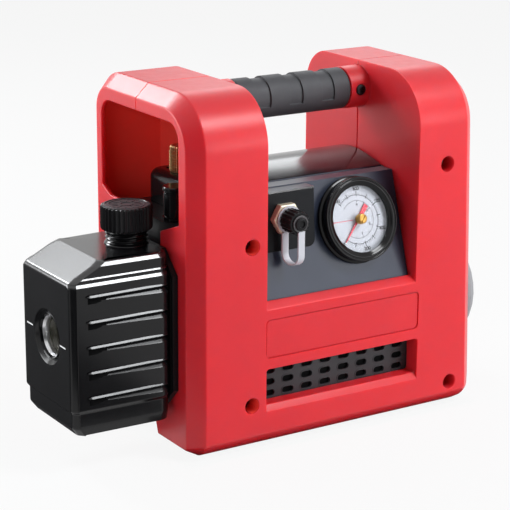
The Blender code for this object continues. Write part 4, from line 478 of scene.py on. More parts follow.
def hollow_stations(start, end):
    inset, run = 10.29, 10.7
    stations = [(start, WALL, WALL)]
    if start <= WALL:
        stations = [(WALL, inset, WALL + LEFT_RISE), (run, WALL, WALL)]
    if end < LENGTH - WALL:
        return stations + [(end, WALL, WALL)]
    bevel = LENGTH - run
    stations += [(bevel - CORNER_ROUND, WALL, WALL), (bevel, WALL, WALL + corner_rise(bevel + WALL))]
    return stations + [(LENGTH - WALL, inset, WALL + CORNER_ROUND)]


def shell(side):
    name = "front_shell" if side < 0 else "rear_shell"
    outer = shell_loft(side, outer_stations(), HEIGHT, FILLET[side])
    steps = []
    for start, end, height, turn in ((WALL, TOWER_LEFT - WALL, HEIGHT, FILLET[side]),
                                     (TOWER_RIGHT + WALL, LENGTH, HEIGHT, FILLET[side]),
                                     (WALL, LENGTH, SADDLE + WALL + 2, 2)):
        steps.append(cut(shell_loft(side, hollow_stations(start, end), height, turn, WALL, -2)))
    steps.append(cut(drum(36.6, 49, 176, "x", DRIVE)))
    near, far = (FRONT + 1.5, -41.5) if side < 0 else (8, DEPTH[1] - 1.5)
    for low in (TOWER_LEFT - WALL, TOWER_RIGHT):
        steps.append(add(block((low, near, SADDLE - 8), (low + WALL, far, SADDLE + 8))))
    steps.append(cut(block((TOWER_LEFT, -75, SADDLE), (TOWER_RIGHT, 75, HEIGHT + 4))))
    inner, edge = DEPTH[side] - LIP, DEPTH[side] - WALL / 2
    bottom = SADDLE - 2 * LIP_DROP
    left, right = TOWER_LEFT - WALL / 2, TOWER_RIGHT + WALL / 2
    lip = [(inner, bottom + LIP_DROP), (edge, bottom), (edge, SADDLE), (inner, SADDLE)]
    steps.append(add(prism([(side * y, z) for y, z in lip], "x", left, right)))
    beyond = DEPTH[side] + 3
    slope = [(DEPTH[side], SADDLE - LIP_DROP), (inner, SADDLE), (inner, SADDLE + 3), (beyond, SADDLE + 3),
             (beyond, SADDLE - LIP_DROP)]
    steps.append(cut(prism([(side * y, z) for y, z in slope], "x", TOWER_LEFT, TOWER_RIGHT)))
    stub = [(side * max(y, PARTING), z) for y, z in arc((0, GRIP_Z), STUB, -90, 90, 24)]
    for root, tip in ((left, TOWER_LEFT + STUB_LENGTH), (right, TOWER_RIGHT - STUB_LENGTH)):
        steps.append(add(prism(stub, "x", root, tip)))
    steps.append(cut(drum(8.8, 48, 177, "x", GRIP_AXIS, 40)))
    steps.append(cut(prism(WINDOW, "x", -3, WALL + 2)))
    openings = drum(COWL + 0.6, LENGTH - 6, LENGTH + 6, "x", DRIVE, 80)
    for half, rise, z in ((14.6, 11.1, 135), (8.1, 11.6, 176)):
        block((LENGTH - 6, -half, z - rise), (LENGTH + 6, half, z + rise), openings)
    steps.append(cut(openings))
    steps.append(cut(block((TOWER_LEFT - 5, -22, 120), (TOWER_LEFT + 2, 12, 160.5))))
    if side < 0:
        steps += front_steps()
    result = carve(outer, *steps)
    soften(result, 0.8, 3, 24, lambda p: abs(p.y) > (26 if p.z < 20 else 1) and
           (p.x < 9.6 or p.x > 205 or p.z < 9.6))
    soften(result, 0.6, 2, 34, lambda p: p.z > 20 and not on_plate(p) and
           (abs(p.y) > 54 or 50 < p.x < 175 and p.z > 90))
    # Inner wall faces and the left tower's inner faces take the brighter red copy, painted light.
    for face in outward(result).faces:
        middle = face.calc_center_median()
        inner = abs(abs(middle.y) - DEPTH[side] + WALL) < 0.2 and abs(face.normal.y) > 0.9
        tower = 2.9 < middle.x < 51.4 and abs(middle.y) < DEPTH[side] - 2.9 and 9 < middle.z < 227.1
        inward = face.normal.dot(Vector((27, 0, middle.z)) - middle) > 0
        face.material_index = int(inner or tower and (inward or middle.z > 225 and face.normal.z < -0.5))
    piece(name + "_moulding", result, [RED, LIT_RED_INSIDE], name)


def tongues():
    """The ribs inside the parting line, which close the slit between the two halves."""
    low, high, thick = HEIGHT - BEVEL_INSET, HEIGHT - 1.2, 0.38
    end, top, foot = LENGTH + lean(low), LENGTH - BEVEL_RUN + lean(high), LENGTH + lean(190)
    left, right, under = TOWER_LEFT - 0.6, TOWER_RIGHT + 0.6, high - 1.4
    outlines = [[(1.2, 214.5), (1.2, low - 0.6), (BEVEL_RUN + 0.4, high), (left, high), (left, under),
                 (BEVEL_RUN + 0.9, under), (2.8, low - 1.4), (2.8, 214.5)],
                [(foot - 1.2, 190), (end - 1.2, low - 0.6), (top - 0.4, high), (right, high), (right, under),
                 (top - 0.9, under), (end - 2.8, low - 1.4), (foot - 2.8, 190)],
                [(1.2, 42.5), (1.2, 16.5), (3.2, 14.9), (205, 9.5), (219, 9.6), (223, 11.6), (223.7, 17),
                 (223.2, 32.5), (221.6, 32.5), (222.1, 18), (220.8, 13.2), (217, 11.4), (205, 11),
                 (4, 16.4), (2.8, 18), (2.8, 42.5)]]
    for low, high in ((104.5, 123), (147, 163.5)):
        corners = ((low, 1.2), (high, 1.2), (high, 2.8), (low, 2.8))
        outlines.append([(LENGTH + lean(z) - depth, z) for z, depth in corners])
    shape = bmesh.new()
    for outline in outlines:
        prism(outline, "y", -thick, thick, shape)
    piece("parting_tongue", shape, RED, ())


def on_plate(p):
    """Whether a point lies on the rim of the bare plate, which stays crisp."""
    spans = zip(PLATE_LOW, (p.x, p.z), PLATE_HIGH)
    return p.y < -68 and all(low - 0.1 < value < high + 0.1 for low, value, high in spans)


def front_steps():
    """The plate with its groove, the vent's tunnel with its sill, and the screws' seats."""
    plate = rounded(PLATE_LOW, PLATE_HIGH, 3.2, 8)
    inner = rounded([value + 0.9 for value in PLATE_LOW], [value - 0.9 for value in PLATE_HIGH], 2.4, 8)
    sill = [(FRONT, 23.5), (-67, 27.5), (-67, 29.5), (-72, 29.5), (-72, 23.5)]
    steps = [cut(prism(plate, "y", -74, -68.7)), add(prism(inner, "y", -69.4, -68)),
             add(block((51.7, -68.5, 25), (176.5, -58, 54.5))),
             cut(prism(rounded(VENT_LOW, VENT_HIGH, 2), "y", -74, -55)),
             cut(prism(sill, "x", VENT_LOW[0] + 0.1, VENT_HIGH[0] - 0.1))]
    for x, z in SCREWS:
        steps.append(add(drum(6.8, -68.5, -50, "y", (x, 0, z), 32)))
        steps.append(cut(drum(5.2, FRONT - 4, -57.5, "y", (x, 0, z), 32)))
    for x in STUB_MIDDLES:
        steps.append(cut(drum(3.9, -20, -13, "y", (x, 0, GRIP_Z), 32)))
    return steps


shell(-1)
shell(1)
tongues()


# Oil tank and its fittings

TANK_FRONT, TANK_REAR, TANK_NEAR, TANK_FAR = -73.5, -5.5, -52, 19.5
TANK_LOW, TANK_SHOULDER, TANK_TOP = 24.5, 122.5, 134
SIGHT_CENTRE = (TANK_FRONT, DRIVE_Y, 81.7)
NECK, DRAIN = (-16.8, DRIVE_Y, 0), (-40, DRIVE_Y, 0)
GROOVES = [113.6 - 16.2 * k for k in range(5)]
LEVEL_MARKS = ((2.8, 11.4, 83.6), (-42.2, -34.4, 80.9))
TANK_HEEL = ((-12, 0), (-9.6, 0.3), (-7.8, 0.9), (-6.5, 1.8), (TANK_REAR, 2.9))


def eased(points, setbacks, steps=5):
    """A path with each corner that has a setback turned into a short curve."""
    points = [Vector(point) for point in points]
    path = []
    for k, (point, setback) in enumerate(zip(points, setbacks)):
        if not setback:
            path.append(point)
            continue
        before, after = points[k - 1], points[(k + 1) % len(points)]
        first = point + (before - point).normalized() * setback
        last = point + (after - point).normalized() * setback
        for i in range(steps + 1):
            t = i / steps
            path.append(first * (1 - t) ** 2 + point * 2 * t * (1 - t) + last * t ** 2)
    return path


def tank_loop(front, side, z, corner=4.2):
    left, near, far = TANK_FRONT + front, TANK_NEAR + side, TANK_FAR - side
    flat = ((left + corner, near), (left, near + corner), (left, far - corner), (left + corner, far))
    path = eased([(x, y, z) for x, y in flat], [1.6] * 4)
    path += [Vector((x, far - inset, z)) for x, inset in TANK_HEEL]
    return [Vector((x, near + inset, z)) for x, inset in reversed(TANK_HEEL)] + path


def at_height(profile, z):
    """The inset of a profile of (inset, z) points at a height."""
    for (first, low), (second, high) in zip(profile, profile[1:]):
        if low <= z <= high:
            return first + (second - first) * (z - low) / max(high - low, 0.001)
    return profile[-1][0]


def tank_loops():
    """Loops up the tank. Its front ends in one slope; its sides step back over two ledges to the flat top."""
    foot = [(1.5, 30), (1.5, 39.5), (0, 41.5)]
    eases = (1.2, 0.7, 0.7)
    front = [(5.5, TANK_LOW)] + foot + [(0, TANK_SHOULDER), (22.5, TANK_TOP)]
    side = [(3, TANK_LOW)] + foot + [(0, 120), (1.6, 122.1), (1.6, 124), (2.4, 125.05), (2.4, 131),
                                     (4.3, 133.5), (6.6, TANK_TOP)]
    front = [tuple(point) for point in eased(front, (0, *eases, 2.2, 0), 7)]
    side = [tuple(point) for point in eased(side, (0, *eases, 0.4, 0.3, 0.25, 0.25, 0.4, 0.5, 0), 4)]
    heights = sorted({round(z, 2) for _, z in front + side})
    loops = [tank_loop(8, 5.5, TANK_LOW)]
    loops += [tank_loop(at_height(front, z), at_height(side, z), z) for z in heights]
    return loops + [tank_loop(26, 9, TANK_TOP)]


# Where the first and the second section start, then both: points of depth inside the wall and height.
NOTCH = ((-62, -49.5), [(-1.5, 0.2), (2.6, -0.5), (2.55, -3.4), (2.4, -4.2), (-1.5, -4.2)],
         [(-1.5, 0.2), (2.6, -0.5), (0.6, -3.4), (-0.02, -4.2), (-1.5, -4.2)])
BEAD = ((-63, -60.5), [(0.5, 1), (0.1, 0.5), (0.1, 0.2), (0.5, -0.1)],
        [(0.25, 1.5), (-0.6, 0.4), (-0.6, 0.05), (0.25, -0.1)])


def along_side(side, top, starts, first_section, section):
    """A notch, or the lip above it, along the near (-1) or far (1) side of the tank and its heel's curve."""
    wall = TANK_NEAR if side < 0 else TANK_FAR
    stations = [*zip(starts, (first_section, section))] + [(x, section) for x, _ in TANK_HEEL[:-1]]
    loops = []
    for x, points in stations:
        inset = 0
        for (start, first), (end, last) in zip(TANK_HEEL, TANK_HEEL[1:]):
            if start <= x <= end:
                inset = first + (last - first) * (x - start) / (end - start)
        loops.append([Vector((x, wall - side * (depth + inset), top + z)) for depth, z in points])
    return loft(loops)


def tank():
    shape = loft(tank_loops())
    hollow = [(-34, 33), (-0.5, 33), (12.5, 46), (12.5, 105), (-0.5, 118), (-34, 118), (-47, 105), (-47, 46)]
    steps = [cut(prism(hollow, "x", -68.5, 0)),
             cut(block((-46, -35, 112.5), (0, 0.5, 129))),
             cut(drum(9, 124, 140, "z", NECK, 40)), cut(drum(4.5, 20, 36, "z", DRAIN, 24))]
    sink = [(0, -3), (17.9, -3), (17.9, 0), (17.2, 0.45), (15.4, 2), (14.8, 2.2), (14.8, 9), (0, 9)]
    steps.append(cut(turned(sink, "x", SIGHT_CENTRE, 80)))
    for side in (-1, 1):
        for top in GROOVES:
            steps += [add(along_side(side, top, *BEAD)), cut(along_side(side, top, *NOTCH))]
    for low, high, z in LEVEL_MARKS:
        mark = block((TANK_FRONT - 2, low - 0.1, z - 0.55), (TANK_FRONT + 0.3, high + 0.1, z + 0.55))
        steps.append(cut(mark))
    result = carve(shape, *steps)
    for face in outward(result).faces:
        middle = face.calc_center_median()
        depth = min(middle.y - TANK_NEAR, TANK_FAR - middle.y)
        # Faces inside the notches take the dead black, painted shade.
        face.material_index = int(-62.3 < middle.x < -49.6 and 0.04 < depth < 2.6 and
                                  any(top - 4.1 < middle.z < top for top in GROOVES))
        if middle.z > 121 and face.normal.z > 0.35:
            face.material_index = 2
    piece("tank_body", result, [GLOSS, SHADE_BLACK, LID], "oil_tank", angle=14)


def level_marks():
    shape = bmesh.new()
    for low, high, z in LEVEL_MARKS:
        outline = rounded((low, z - 0.45), (high, z + 0.45), 0.3, 3)
        prism(outline, "x", TANK_FRONT + 0.05, TANK_FRONT + 0.28, shape)
    piece("level_marks", shape, MARK, ())


def filler_neck():
    """The neck with its thread, drawn as a ridge that climbs one pitch a turn."""
    pitch, root, start, count = 2.6, 12.3, 135.6, 28
    profile = [(9.2, 147), (9.2, 130.5), (14.2, 134.2), (13.6, 134.9), (12.4, 135.4)]
    profile += [(root, start + 10.6 * k / count) for k in range(count + 1)] + [(12.2, 147)]
    shape = turned(profile, "z", NECK, 72, ring=True)
    for vertex in shape.verts:
        x, y = vertex.co.x - NECK[0], vertex.co.y - NECK[1]
        if abs(math.hypot(x, y) - root) < 0.01:
            phase = ((vertex.co.z - start) / pitch - math.atan2(y, x) / math.tau) % 1
            share = 1 + 1.35 * max(0, 1 - abs(phase - 0.5) * 3.2) ** 0.7 / root
            vertex.co.x, vertex.co.y = NECK[0] + x * share, NECK[1] + y * share
    piece("filler_neck", shape, GLOSS, (), angle=50)


def ribbed(profile, axis, centre, ribs, depth, inside, grown=1, detail=8):
    """A turned ring whose points outside a radius are fluted by a number of ribs."""
    steps = ribs * detail
    shape = turned(profile, axis, centre, steps, ring=True)
    index = "xyz".index(axis)
    for vertex in shape.verts:
        offset = [vertex.co[i] - centre[i] for i in range(3) if i != index]
        radius = math.hypot(*offset)
        if radius <= inside:
            continue
        wave = 0.5 - 0.5 * math.cos(ribs * math.atan2(offset[1], offset[0]))
        share = 1 - depth * wave ** grown / radius
        for i, value in zip([i for i in range(3) if i != index], offset):
            vertex.co[i] = centre[i] + value * share
    return shape


def oil_cap():
    top = 159
    centre = (*NECK[:2], top)
    profile = [(14.1, -15.6), (15.5, -15.6), (15.9, -15.35), (16.35, -14.7), (16.4, -13.8), (16.4, -1.7),
               (16.2, -1), (15.5, -0.5), (14.1, -0.5)]
    shape = ribbed(profile, "z", centre, 36, 1, 15.2, 0.7)
    crown = [(0, -1.6), (14.7, -1.6), (14.7, -0.5), (14.4, -0.15), (13.9, 0), (13.4, 0), (13, -0.35),
             (11.9, -0.35), (11.7, -0.1), (10.9, -0.1), (10.7, -0.4), (4.6, -0.4), (4.4, -0.1), (3.4, -0.1),
             (3.2, -0.4), (0, -0.4)]
    turned(crown, "z", centre, 96, shape=shape)
    for k in range(12):
        spoke = block((5.6, -0.35, -0.7), (9.8, 0.35, -0.12))
        spoke.transform(Matrix.Translation(centre) @ Matrix.Rotation(math.tau * k / 12, 4, "Z"))
        take_in(shape, mesh_of("temporary", spoke))
    # Upward faces at the cap's top take the lighter matt black, partly painted light.
    for face in outward(shape).faces:
        face.material_index = int(face.normal.z > 0.8 and face.calc_center_median().z > top - 1.2)
    piece("oil_cap_knurled", shape, [SATIN, MATT_LIT_TOP], "oil_cap", "filler_cap")


def sight_glass():
    ring = [(13.9, 1.5), (14.2, 1.3), (14.5, 1.7), (14.5, 7.5), (11.9, 7.5), (11.9, 5.3), (12.1, 4.9),
            (12.9, 3.3), (13.6, 1.7)]
    shape = turned(ring, "x", SIGHT_CENTRE, 80, ring=True)
    # The ring's front faces take the bezels' black, painted shade; the bore keeps the bright steel.
    for face in shape.faces:
        face.material_index = int(face.calc_center_median().x < TANK_FRONT + 3.2)
    piece("sight_ring", shape, [RING, BEZEL], "sight_glass_ring")
    lens = [(0, 2.9), (6, 3), (10, 3.25), (12, 3.5), (12, 5.2), (0, 5.2)]
    piece("sight_lens", turned(lens, "x", SIGHT_CENTRE, 64), SIGHT, "sight_glass")
    # A near-black bowl behind the lens, painted shade inside the sight glass.
    bowl = [(12, 7.6)]
    for k in range(4):
        bowl += [(11.6 - 1.5 * k, 7.6 + 0.9 * k), (11.2 - 1.5 * k, 8.5 + 0.9 * k)]
    bowl += [(5.6, 11), (0, 11.4), (0, 12.4), (12.1, 11.4)]
    piece("sight_bowl", turned(bowl, "x", SIGHT_CENTRE, 64), SHADE_BRASS, (), angle=20)
    # The olive disc in the bowl's middle: the oil's colour with a painted highlight.
    oil = [(0, 10.4), (5.9, 10.5), (5.9, 11.2), (0, 11.2)]
    piece("sight_oil_and_highlight", turned(oil, "x", SIGHT_CENTRE, 48), OIL_AND_GLINT, ())


tank()
level_marks()
filler_neck()
oil_cap()
sight_glass()


# Cover, gauge and suction port

GAUGE = Matrix.Translation((133.9, -50.191, 135.2)) @ Matrix.Rotation(math.radians(90 - 17.244), 4, "X")
PANEL_FOOT, PANEL_TOP = (-63.6, 92), (-41.5, 163.2)
PAD_FOOT, PAD_TOP, PAD_END = (-54.7, 123.8), (-52.25, 161.7), 100.5
PORT = (77.3, 0, 145.3)
LEDGE, CROWN, COVER_BACK = -30, (4, 170), (40, 160.5)


def cover_outline(inset, bottom=PANEL_FOOT[1]):
    slope = (PANEL_TOP[0] - PANEL_FOOT[0]) / (PANEL_TOP[1] - PANEL_FOOT[1])
    side = inset * math.hypot(1, slope)
    top = PANEL_TOP[1] - inset
    points = [(PANEL_FOOT[0] + side + (bottom - PANEL_FOOT[1]) * slope, bottom),
              (PANEL_TOP[0] + side - inset * slope, top)]
    if inset:
        points.append((LEDGE + inset, top))
    else:
        seam = ((-0.9, 0), (-0.7, -0.7), (0.1, -0.7), (0.3, 0.5))
        points += [(LEDGE + y, top + z) for y, z in seam]
    crown, start, low = CROWN[1] - inset, LEDGE + inset, top + 0.5 * (not inset)
    for k in range(1, 25):
        share = k / 24
        points.append((start + (CROWN[0] - start) * share,
                       low + (crown - low) * math.sin(math.radians(90 * share))))
    back = (COVER_BACK[0] - inset, COVER_BACK[1] - inset)
    for k in range(1, 19):
        share = k / 18
        points.append((CROWN[0] + (back[0] - CROWN[0]) * share,
                       back[1] + (crown - back[1]) * math.cos(math.radians(90 * share))))
    return points + [(56.4 - inset, SADDLE), (56.4 - inset, bottom)]


def cover():
    start, end = TOWER_LEFT + 0.3, TOWER_RIGHT - 0.3
    shape = prism(cover_outline(0), "x", start, end)
    side = (PAD_FOOT, PAD_TOP, (-51.5, 162.6), (-38, 162.6), (-38, PAD_FOOT[1]))
    pad = prism(side, "x", start, PAD_END)
    soften(pad, 4.5, 6, 60, lambda p: p.x > 99 and abs(p.z - PAD_FOOT[1]) < 1 and p.y > -60)
    soften(pad, 0.8, 3, 40, lambda p: p.y < -51 and 120 < p.z < 160)
    steps = [add(pad), cut(prism(cover_outline(2.5, 85), "x", start - 4, end + 4))]
    hole = drum(24.8, -20, 20, "z", steps=80)
    hole.transform(GAUGE)
    steps.append(cut(hole))
    steps.append(cut(drum(6.7, -60, -3, "y", PORT, 40)))
    result = carve(shape, *steps)
    soften(result, 1.2, 3, 26, lambda p: p.z > 96 and
           (p.x > end - 0.1 or abs(p.z - PANEL_TOP[1]) < 0.1 and p.y < -38))
    slope = (PAD_TOP[0] - PAD_FOOT[0]) / (PAD_TOP[1] - PAD_FOOT[1])
    for face in result.faces:
        middle = face.calc_center_median()
        on_pad = middle.x < PAD_END + 0.1
        edge = on_pad and middle.y < -51.4 and 161.6 < middle.z < 162.7
        face.material_index = int(edge or middle.z > PANEL_TOP[1] + 0.1 and middle.y > LEDGE)
        plane = PAD_FOOT[0] + (middle.z - PAD_FOOT[1]) * slope
        # The pad's face takes the darker copy of the panel black, painted shade.
        if on_pad and 123 < middle.z < 161.6 and abs(middle.y - plane) < 0.35:
            face.material_index = 2
    piece("cover_moulding", result, [PANEL, DOME, PAD], "panel_cover")


def gauge():
    case = [(0, -20), (24, -20), (24.5, -19.5), (24.5, 0.3), (28.2, 0.3), (28.7, 0.6), (28.8, 1.1),
            (28.8, 1.8), (28.5, 2.3), (27.7, 2.5), (27.1, 2.8), (26.8, 3.4), (26.8, 6.2), (23.6, 6.2),
            (23.6, 3), (0, 3)]
    piece("gauge_body", turned(case, "z", steps=120), BEZEL, "gauge_case", matrix=GAUGE)
    bezel = [(25.2, 6.5), (27.4, 6.5), (27.7, 6.8), (27.7, 8.9), (27.5, 9.4), (27.1, 9.6), (26.6, 9.55),
             (26.3, 9.2), (26, 9.1), (25.7, 9.3), (25.3, 9.55), (24.6, 9.5), (23.6, 9), (22.4, 8.35),
             (21.8, 8.15), (21.8, 8), (25.2, 8)]
    piece("gauge_ring", turned(bezel, "z", steps=120, ring=True), BEZEL, "gauge_bezel",
          matrix=GAUGE, angle=60)
    lens = [(0, 6.55), (24.6, 6.55), (24.9, 6.8), (24.9, 7.4), (24.6, 7.65), (0, 7.65)]
    piece("gauge_window", turned(lens, "z", steps=96), LENS, "gauge_lens", matrix=GAUGE)
    dial = [(0, 3.3), (23, 3.3), (23.2, 3.5), (23.2, 4), (23.1, 4.1), (0, 4.1)]
    piece("gauge_face", turned(dial, "z", steps=96), FACE, "gauge_dial", matrix=GAUGE)
    dial_print()
    pointer()
    adjuster()


SCALE_START, SCALE_TURN = 228, 270
PRINT_LOW, PRINT_HIGH = 4.11, 4.16
HEX = 6


def heading(degrees):
    turn = math.radians(degrees)
    return Vector((math.cos(turn), math.sin(turn)))


def flat_bar(shape, turn, inner, outer, width):
    along = heading(turn)
    across = Vector((-along.y, along.x)) * width / 2
    outline = [along * inner - across, along * outer - across, along * outer + across, along * inner + across]
    prism(outline, "z", PRINT_LOW, PRINT_HIGH, shape)


def flat_arc(shape, radius, width, first, last, steps=96):
    inner, outer = radius - width / 2, radius + width / 2
    outline = arc((0, 0), outer, first, last, steps) + arc((0, 0), inner, last, first, steps)
    prism(outline, "z", PRINT_LOW, PRINT_HIGH, shape)


def lettering(shape, text, height, centre):
    """Adds a printed number, upright and centred on a point."""
    curve = bpy.data.curves.new("number", "FONT")
    curve.body = text
    curve.size = height
    curve.offset = 0.11
    curve.align_x, curve.align_y = "CENTER", "CENTER"
    curve.extrude = (PRINT_HIGH - PRINT_LOW) / 2
    made = linked("number", curve)
    mesh = evaluated(made)
    mesh.transform(Matrix.Translation((*centre, (PRINT_LOW + PRINT_HIGH) / 2)))
    take_in(shape, mesh)
    bpy.data.objects.remove(made, do_unlink=True)
    bpy.data.curves.remove(curve)


def dial_print():
    shape = bmesh.new()
    last = SCALE_START + SCALE_TURN
    flat_arc(shape, 16, 0.32, SCALE_START, last)
    flat_arc(shape, 12.4, 0.24, SCALE_START, last)
    for k in range(51):
        turn = SCALE_START + SCALE_TURN * k / 50
        if k % 5 == 0:
            flat_bar(shape, turn, 15, 18.4, 0.6)
            flat_bar(shape, turn, 11.2, 12.5, 0.4)
        else:
            flat_bar(shape, turn, 16, 17.2, 0.3)
    for numbers, unit, height, radius in ((range(6), 200, 3.3, 20.1), (range(1, 5), 1, 2.5, 9.6)):
        for k in numbers:
            lettering(shape, str(unit * k), height, heading(SCALE_START + SCALE_TURN * k / 5) * radius)
    piece("dial_print", shape, INK, (), matrix=GAUGE, weighted=False)
    line = bmesh.new()
    flat_bar(line, 180, 3.4, 21.6, 0.36)
    flat_bar(line, 180, 17.6, 21.6, 0.7)
    piece("dial_line", line, SCARLET, (), matrix=GAUGE, weighted=False)


def pointer():
    along = heading(SCALE_START)
    across = Vector((-along.y, along.x))
    sides = ((18.5, 0.3), (3.2, 0.85), (1.6, 1.15), (-2.4, 1.3), (-10.9, 1.8), (-11.5, 1.55))
    outline = [along * reach + across * half for reach, half in sides]
    outline += [along * reach - across * half for reach, half in reversed(sides)]
    needle = prism(outline, "z", 4.75, 5.3)
    soften(needle, 0.12, 2, 40)
    piece("pointer_needle", needle, SCARLET, "gauge_pointer", "pointer", matrix=GAUGE)
    hub = [(0, 4.35), (2.2, 4.35), (2.2, 5.3), (2.7, 5.35), (2.9, 5.5), (2.9, 5.85), (2.6, 6.1), (1.2, 6.15),
           (1, 6), (0, 6)]
    piece("pointer_hub", turned(hub, "z", steps=48), HUB, (), "pointer", matrix=GAUGE)


def adjuster():
    """The slotted zero screw in the middle of the window."""
    profile = [(0, 7.7), (3.5, 7.7), (3.5, 8), (3.2, 8.2), (3.2, 10.2), (3, 10.7), (2.5, 11), (0, 11.1)]
    slot = block((-3.4, -0.32, 10.3), (3.4, 0.32, 12))
    slot.transform(Matrix.Rotation(math.radians(52), 4, "Z"))
    piece("zero_screw", carve(turned(profile, "z", steps=48), cut(slot)), HUB, (), matrix=GAUGE)


def suction_port():
    hexagon = turned([(10.3, -52.5), (10.8, -53), (10.8, -57.3), (10, -58)], "y", PORT, HEX)
    soften(hexagon, 0.35, 2, 30)
    fitting = carve(hexagon, add(drum(6.4, -54, -38.3, "y", PORT, 40)),
                    add(drum(5.8, -68.8, -56, "y", PORT, 40)), cut(drum(3, -70, -37, "y", PORT, 32)))
    piece("port_fitting", fitting, NUT, "inlet_fitting")
    cap = [(6.1, -59.6), (7.6, -59.6), (7.9, -59.9), (7.9, -61.2), (7.45, -61.5), (7.45, -61.9), (7.9, -62.2),
           (7.9, -69.9), (7.5, -70.6), (6.9, -71), (3.4, -71), (3.4, -72.45), (4.3, -72.5), (4.4, -72.8),
           (4.1, -73.4), (3.4, -73.65), (2.3, -73.6), (2, -72.6), (0, -72.4), (0, -69.4), (6.1, -69.4)]
    shape = ribbed(cap, "y", PORT, 18, 0.55, 7.42, 0.8)
    piece("port_cap_ribbed", shape, SATIN, "inlet_cap", "port_cap")
    strap()


def strap():
    ring = turned(tube(6.1, 8.9, -59.3, -58.3), "y", PORT, 64, ring=True)
    end = turned(tube(3.7, 5.5, -72.22, -71.36), "y", PORT, 48, ring=True)
    bend, outer, inner = (-65.3, PORT[2] - 21.3), 7, 6
    rear, front = PORT[2] - 8.1, PORT[2] - 4.9
    outline = [(bend[0] + outer, rear)] + arc(bend, outer, 0, -180, 28) + [(bend[0] - outer, front)]
    outline += [(bend[0] - inner, front)] + arc(bend, inner, -180, 0, 28) + [(bend[0] + inner, rear)]
    band = prism(outline, "x", PORT[0] - 2.4, PORT[0] + 2.4)
    for vertex in band.verts:
        share = (vertex.co.y + 72.3) / 13
        vertex.co.x += 0.8 - 3.6 * share
    result = carve(ring, add(end), add(band))
    soften(result, 0.28, 2, 40)
    for face in result.faces:
        reach = max(math.hypot(v.co.x - PORT[0], v.co.z - PORT[2]) for v in face.verts)
        face.material_index = int(face.calc_center_median().y < -71.2 and reach < 5.9)
    piece("cap_strap_band", result, [WHITE, SMOKE], "cap_strap")


cover()
gauge()
suction_port()


# Grip, grille, screws and small parts

KNOB = (34, 2.6)


def grip():
    start, end = 69.5, 155.5
    lip = [(8.8, 0), (12.3, 0), (13.1, 0.25), (13.6, 0.8), (13.8, 1.6)]
    sleeve = [(radius, start + x) for radius, x in lip] + [(radius, end - x) for radius, x in reversed(lip)]
    shape = turned(sleeve, "x", GRIP_AXIS, 96, ring=True)
    axis = (0, GRIP_Z)
    outline = arc(axis, 17, -20, 200, 40) + arc(axis, 12.6, 200, -20, 40)
    steps = []
    for k in range(3):
        x = (start + end) / 2 + (k - 1) * 24.9
        steps.append(cut(prism(outline, "x", x - 4.9, x + 4.9)))
    result = carve(shape, *steps)
    soften(result, 0.3, 2, 40, lambda p: 72 < p.x < 153)
    piece("grip_sleeve", result, RUBBER, "handle_grip")


def grille():
    shape = block((50.7, -57.3, 24), (177.5, -55.9, 55.5))
    slots, rims = bmesh.new(), bmesh.new()
    for row in range(3):
        for column in range(8):
            x, z = 63.9 + column * 14.6, 30.7 + row * 7.7
            for made, radius, near, far in ((slots, 2.1, -60, -54), (rims, 2.8, -57.7, -57)):
                outline = arc((x + 2.2, z), radius, -90, 90, 8) + arc((x - 2.2, z), radius, 90, 270, 8)
                prism(outline, "y", near, far, made)
    result = carve(shape, add(rims), cut(slots))
    soften(result, 0.2, 2, 50)
    piece("grille_plate", result, GRILLE, "vent_grille")
    # Rows of dead-black strips behind the grille: painted shade that makes the slots read dark.
    shade_sheet = bmesh.new()
    for row in range(12):
        block((51.2, -55.6 + 0.12 * (row % 2), 24.4 + 2.5 * row), (177, -55.2, 26.9 + 2.5 * row), shade_sheet)
    piece("grille_shade_sheet", shade_sheet, SHADE_BLACK, ())


def screw(name, node, x, z, seat, head, height, shank, tip):
    """A pan-head screw along y with a cross recess."""
    top = seat - height
    rim = top + height * 0.6
    profile = [(0, top), (head * 0.62, top + 0.1), (head * 0.9, top + height * 0.3), (head, rim),
               (head, seat), (shank, seat), (shank, tip - 1), (shank * 0.4, tip), (0, tip)]
    shape = turned(profile, "y", (x, 0, z), 40)
    wide, thin = head * 0.58, head * 0.15
    bars = ((wide, thin), (thin, wide))
    recess = [cut(block((x - u, top - 1, z - v), (x + u, rim, z + v))) for u, v in bars]
    piece(name, carve(shape, *recess), DARK_STEEL, node)


def valve_block():
    shape = prism(rounded((22, -26), (46, 28), 9, 8), "z", 147.3, 169)
    steps = [cut(drum(4.6, 150, 175, "z", (*KNOB, 0), 40))]
    for y in (-13.5, 16):
        steps.append(cut(drum(2.9, 165.6, 175, "z", (34, y, 0), 32)))
    result = carve(shape, *steps)
    soften(result, 6, 6, 50, lambda p: p.z > 168.5 and math.hypot(p.x - KNOB[0], p.y - KNOB[1]) > 6 and
           min(abs(p.y + 13.5), abs(p.y - 16)) + abs(p.x - 34) > 5)
    piece("valve_block_cast", result, BEZEL, "valve_block", angle=40)


def ballast_knob():
    profile = [(0, -10.4), (3.9, -10.4), (3.9, 0), (6.5, 0), (7.2, 0.5)]
    for k in range(7):
        step = 1.2 + 1.9 * k
        profile += [(7.5, step), (7.5, step + 1.2), (7, step + 1.55)]
    profile += [(7.2, 16.2), (6.4, 17.1), (5.4, 17.4), (4.8, 16.9), (0, 16.9)]
    shape = ribbed(profile, "z", (*KNOB, 169.4), 28, 0.75, 6.9, 0.8)
    piece("ballast_knob_knurled", shape, KNURL, "gas_ballast_knob", "ballast_knob")


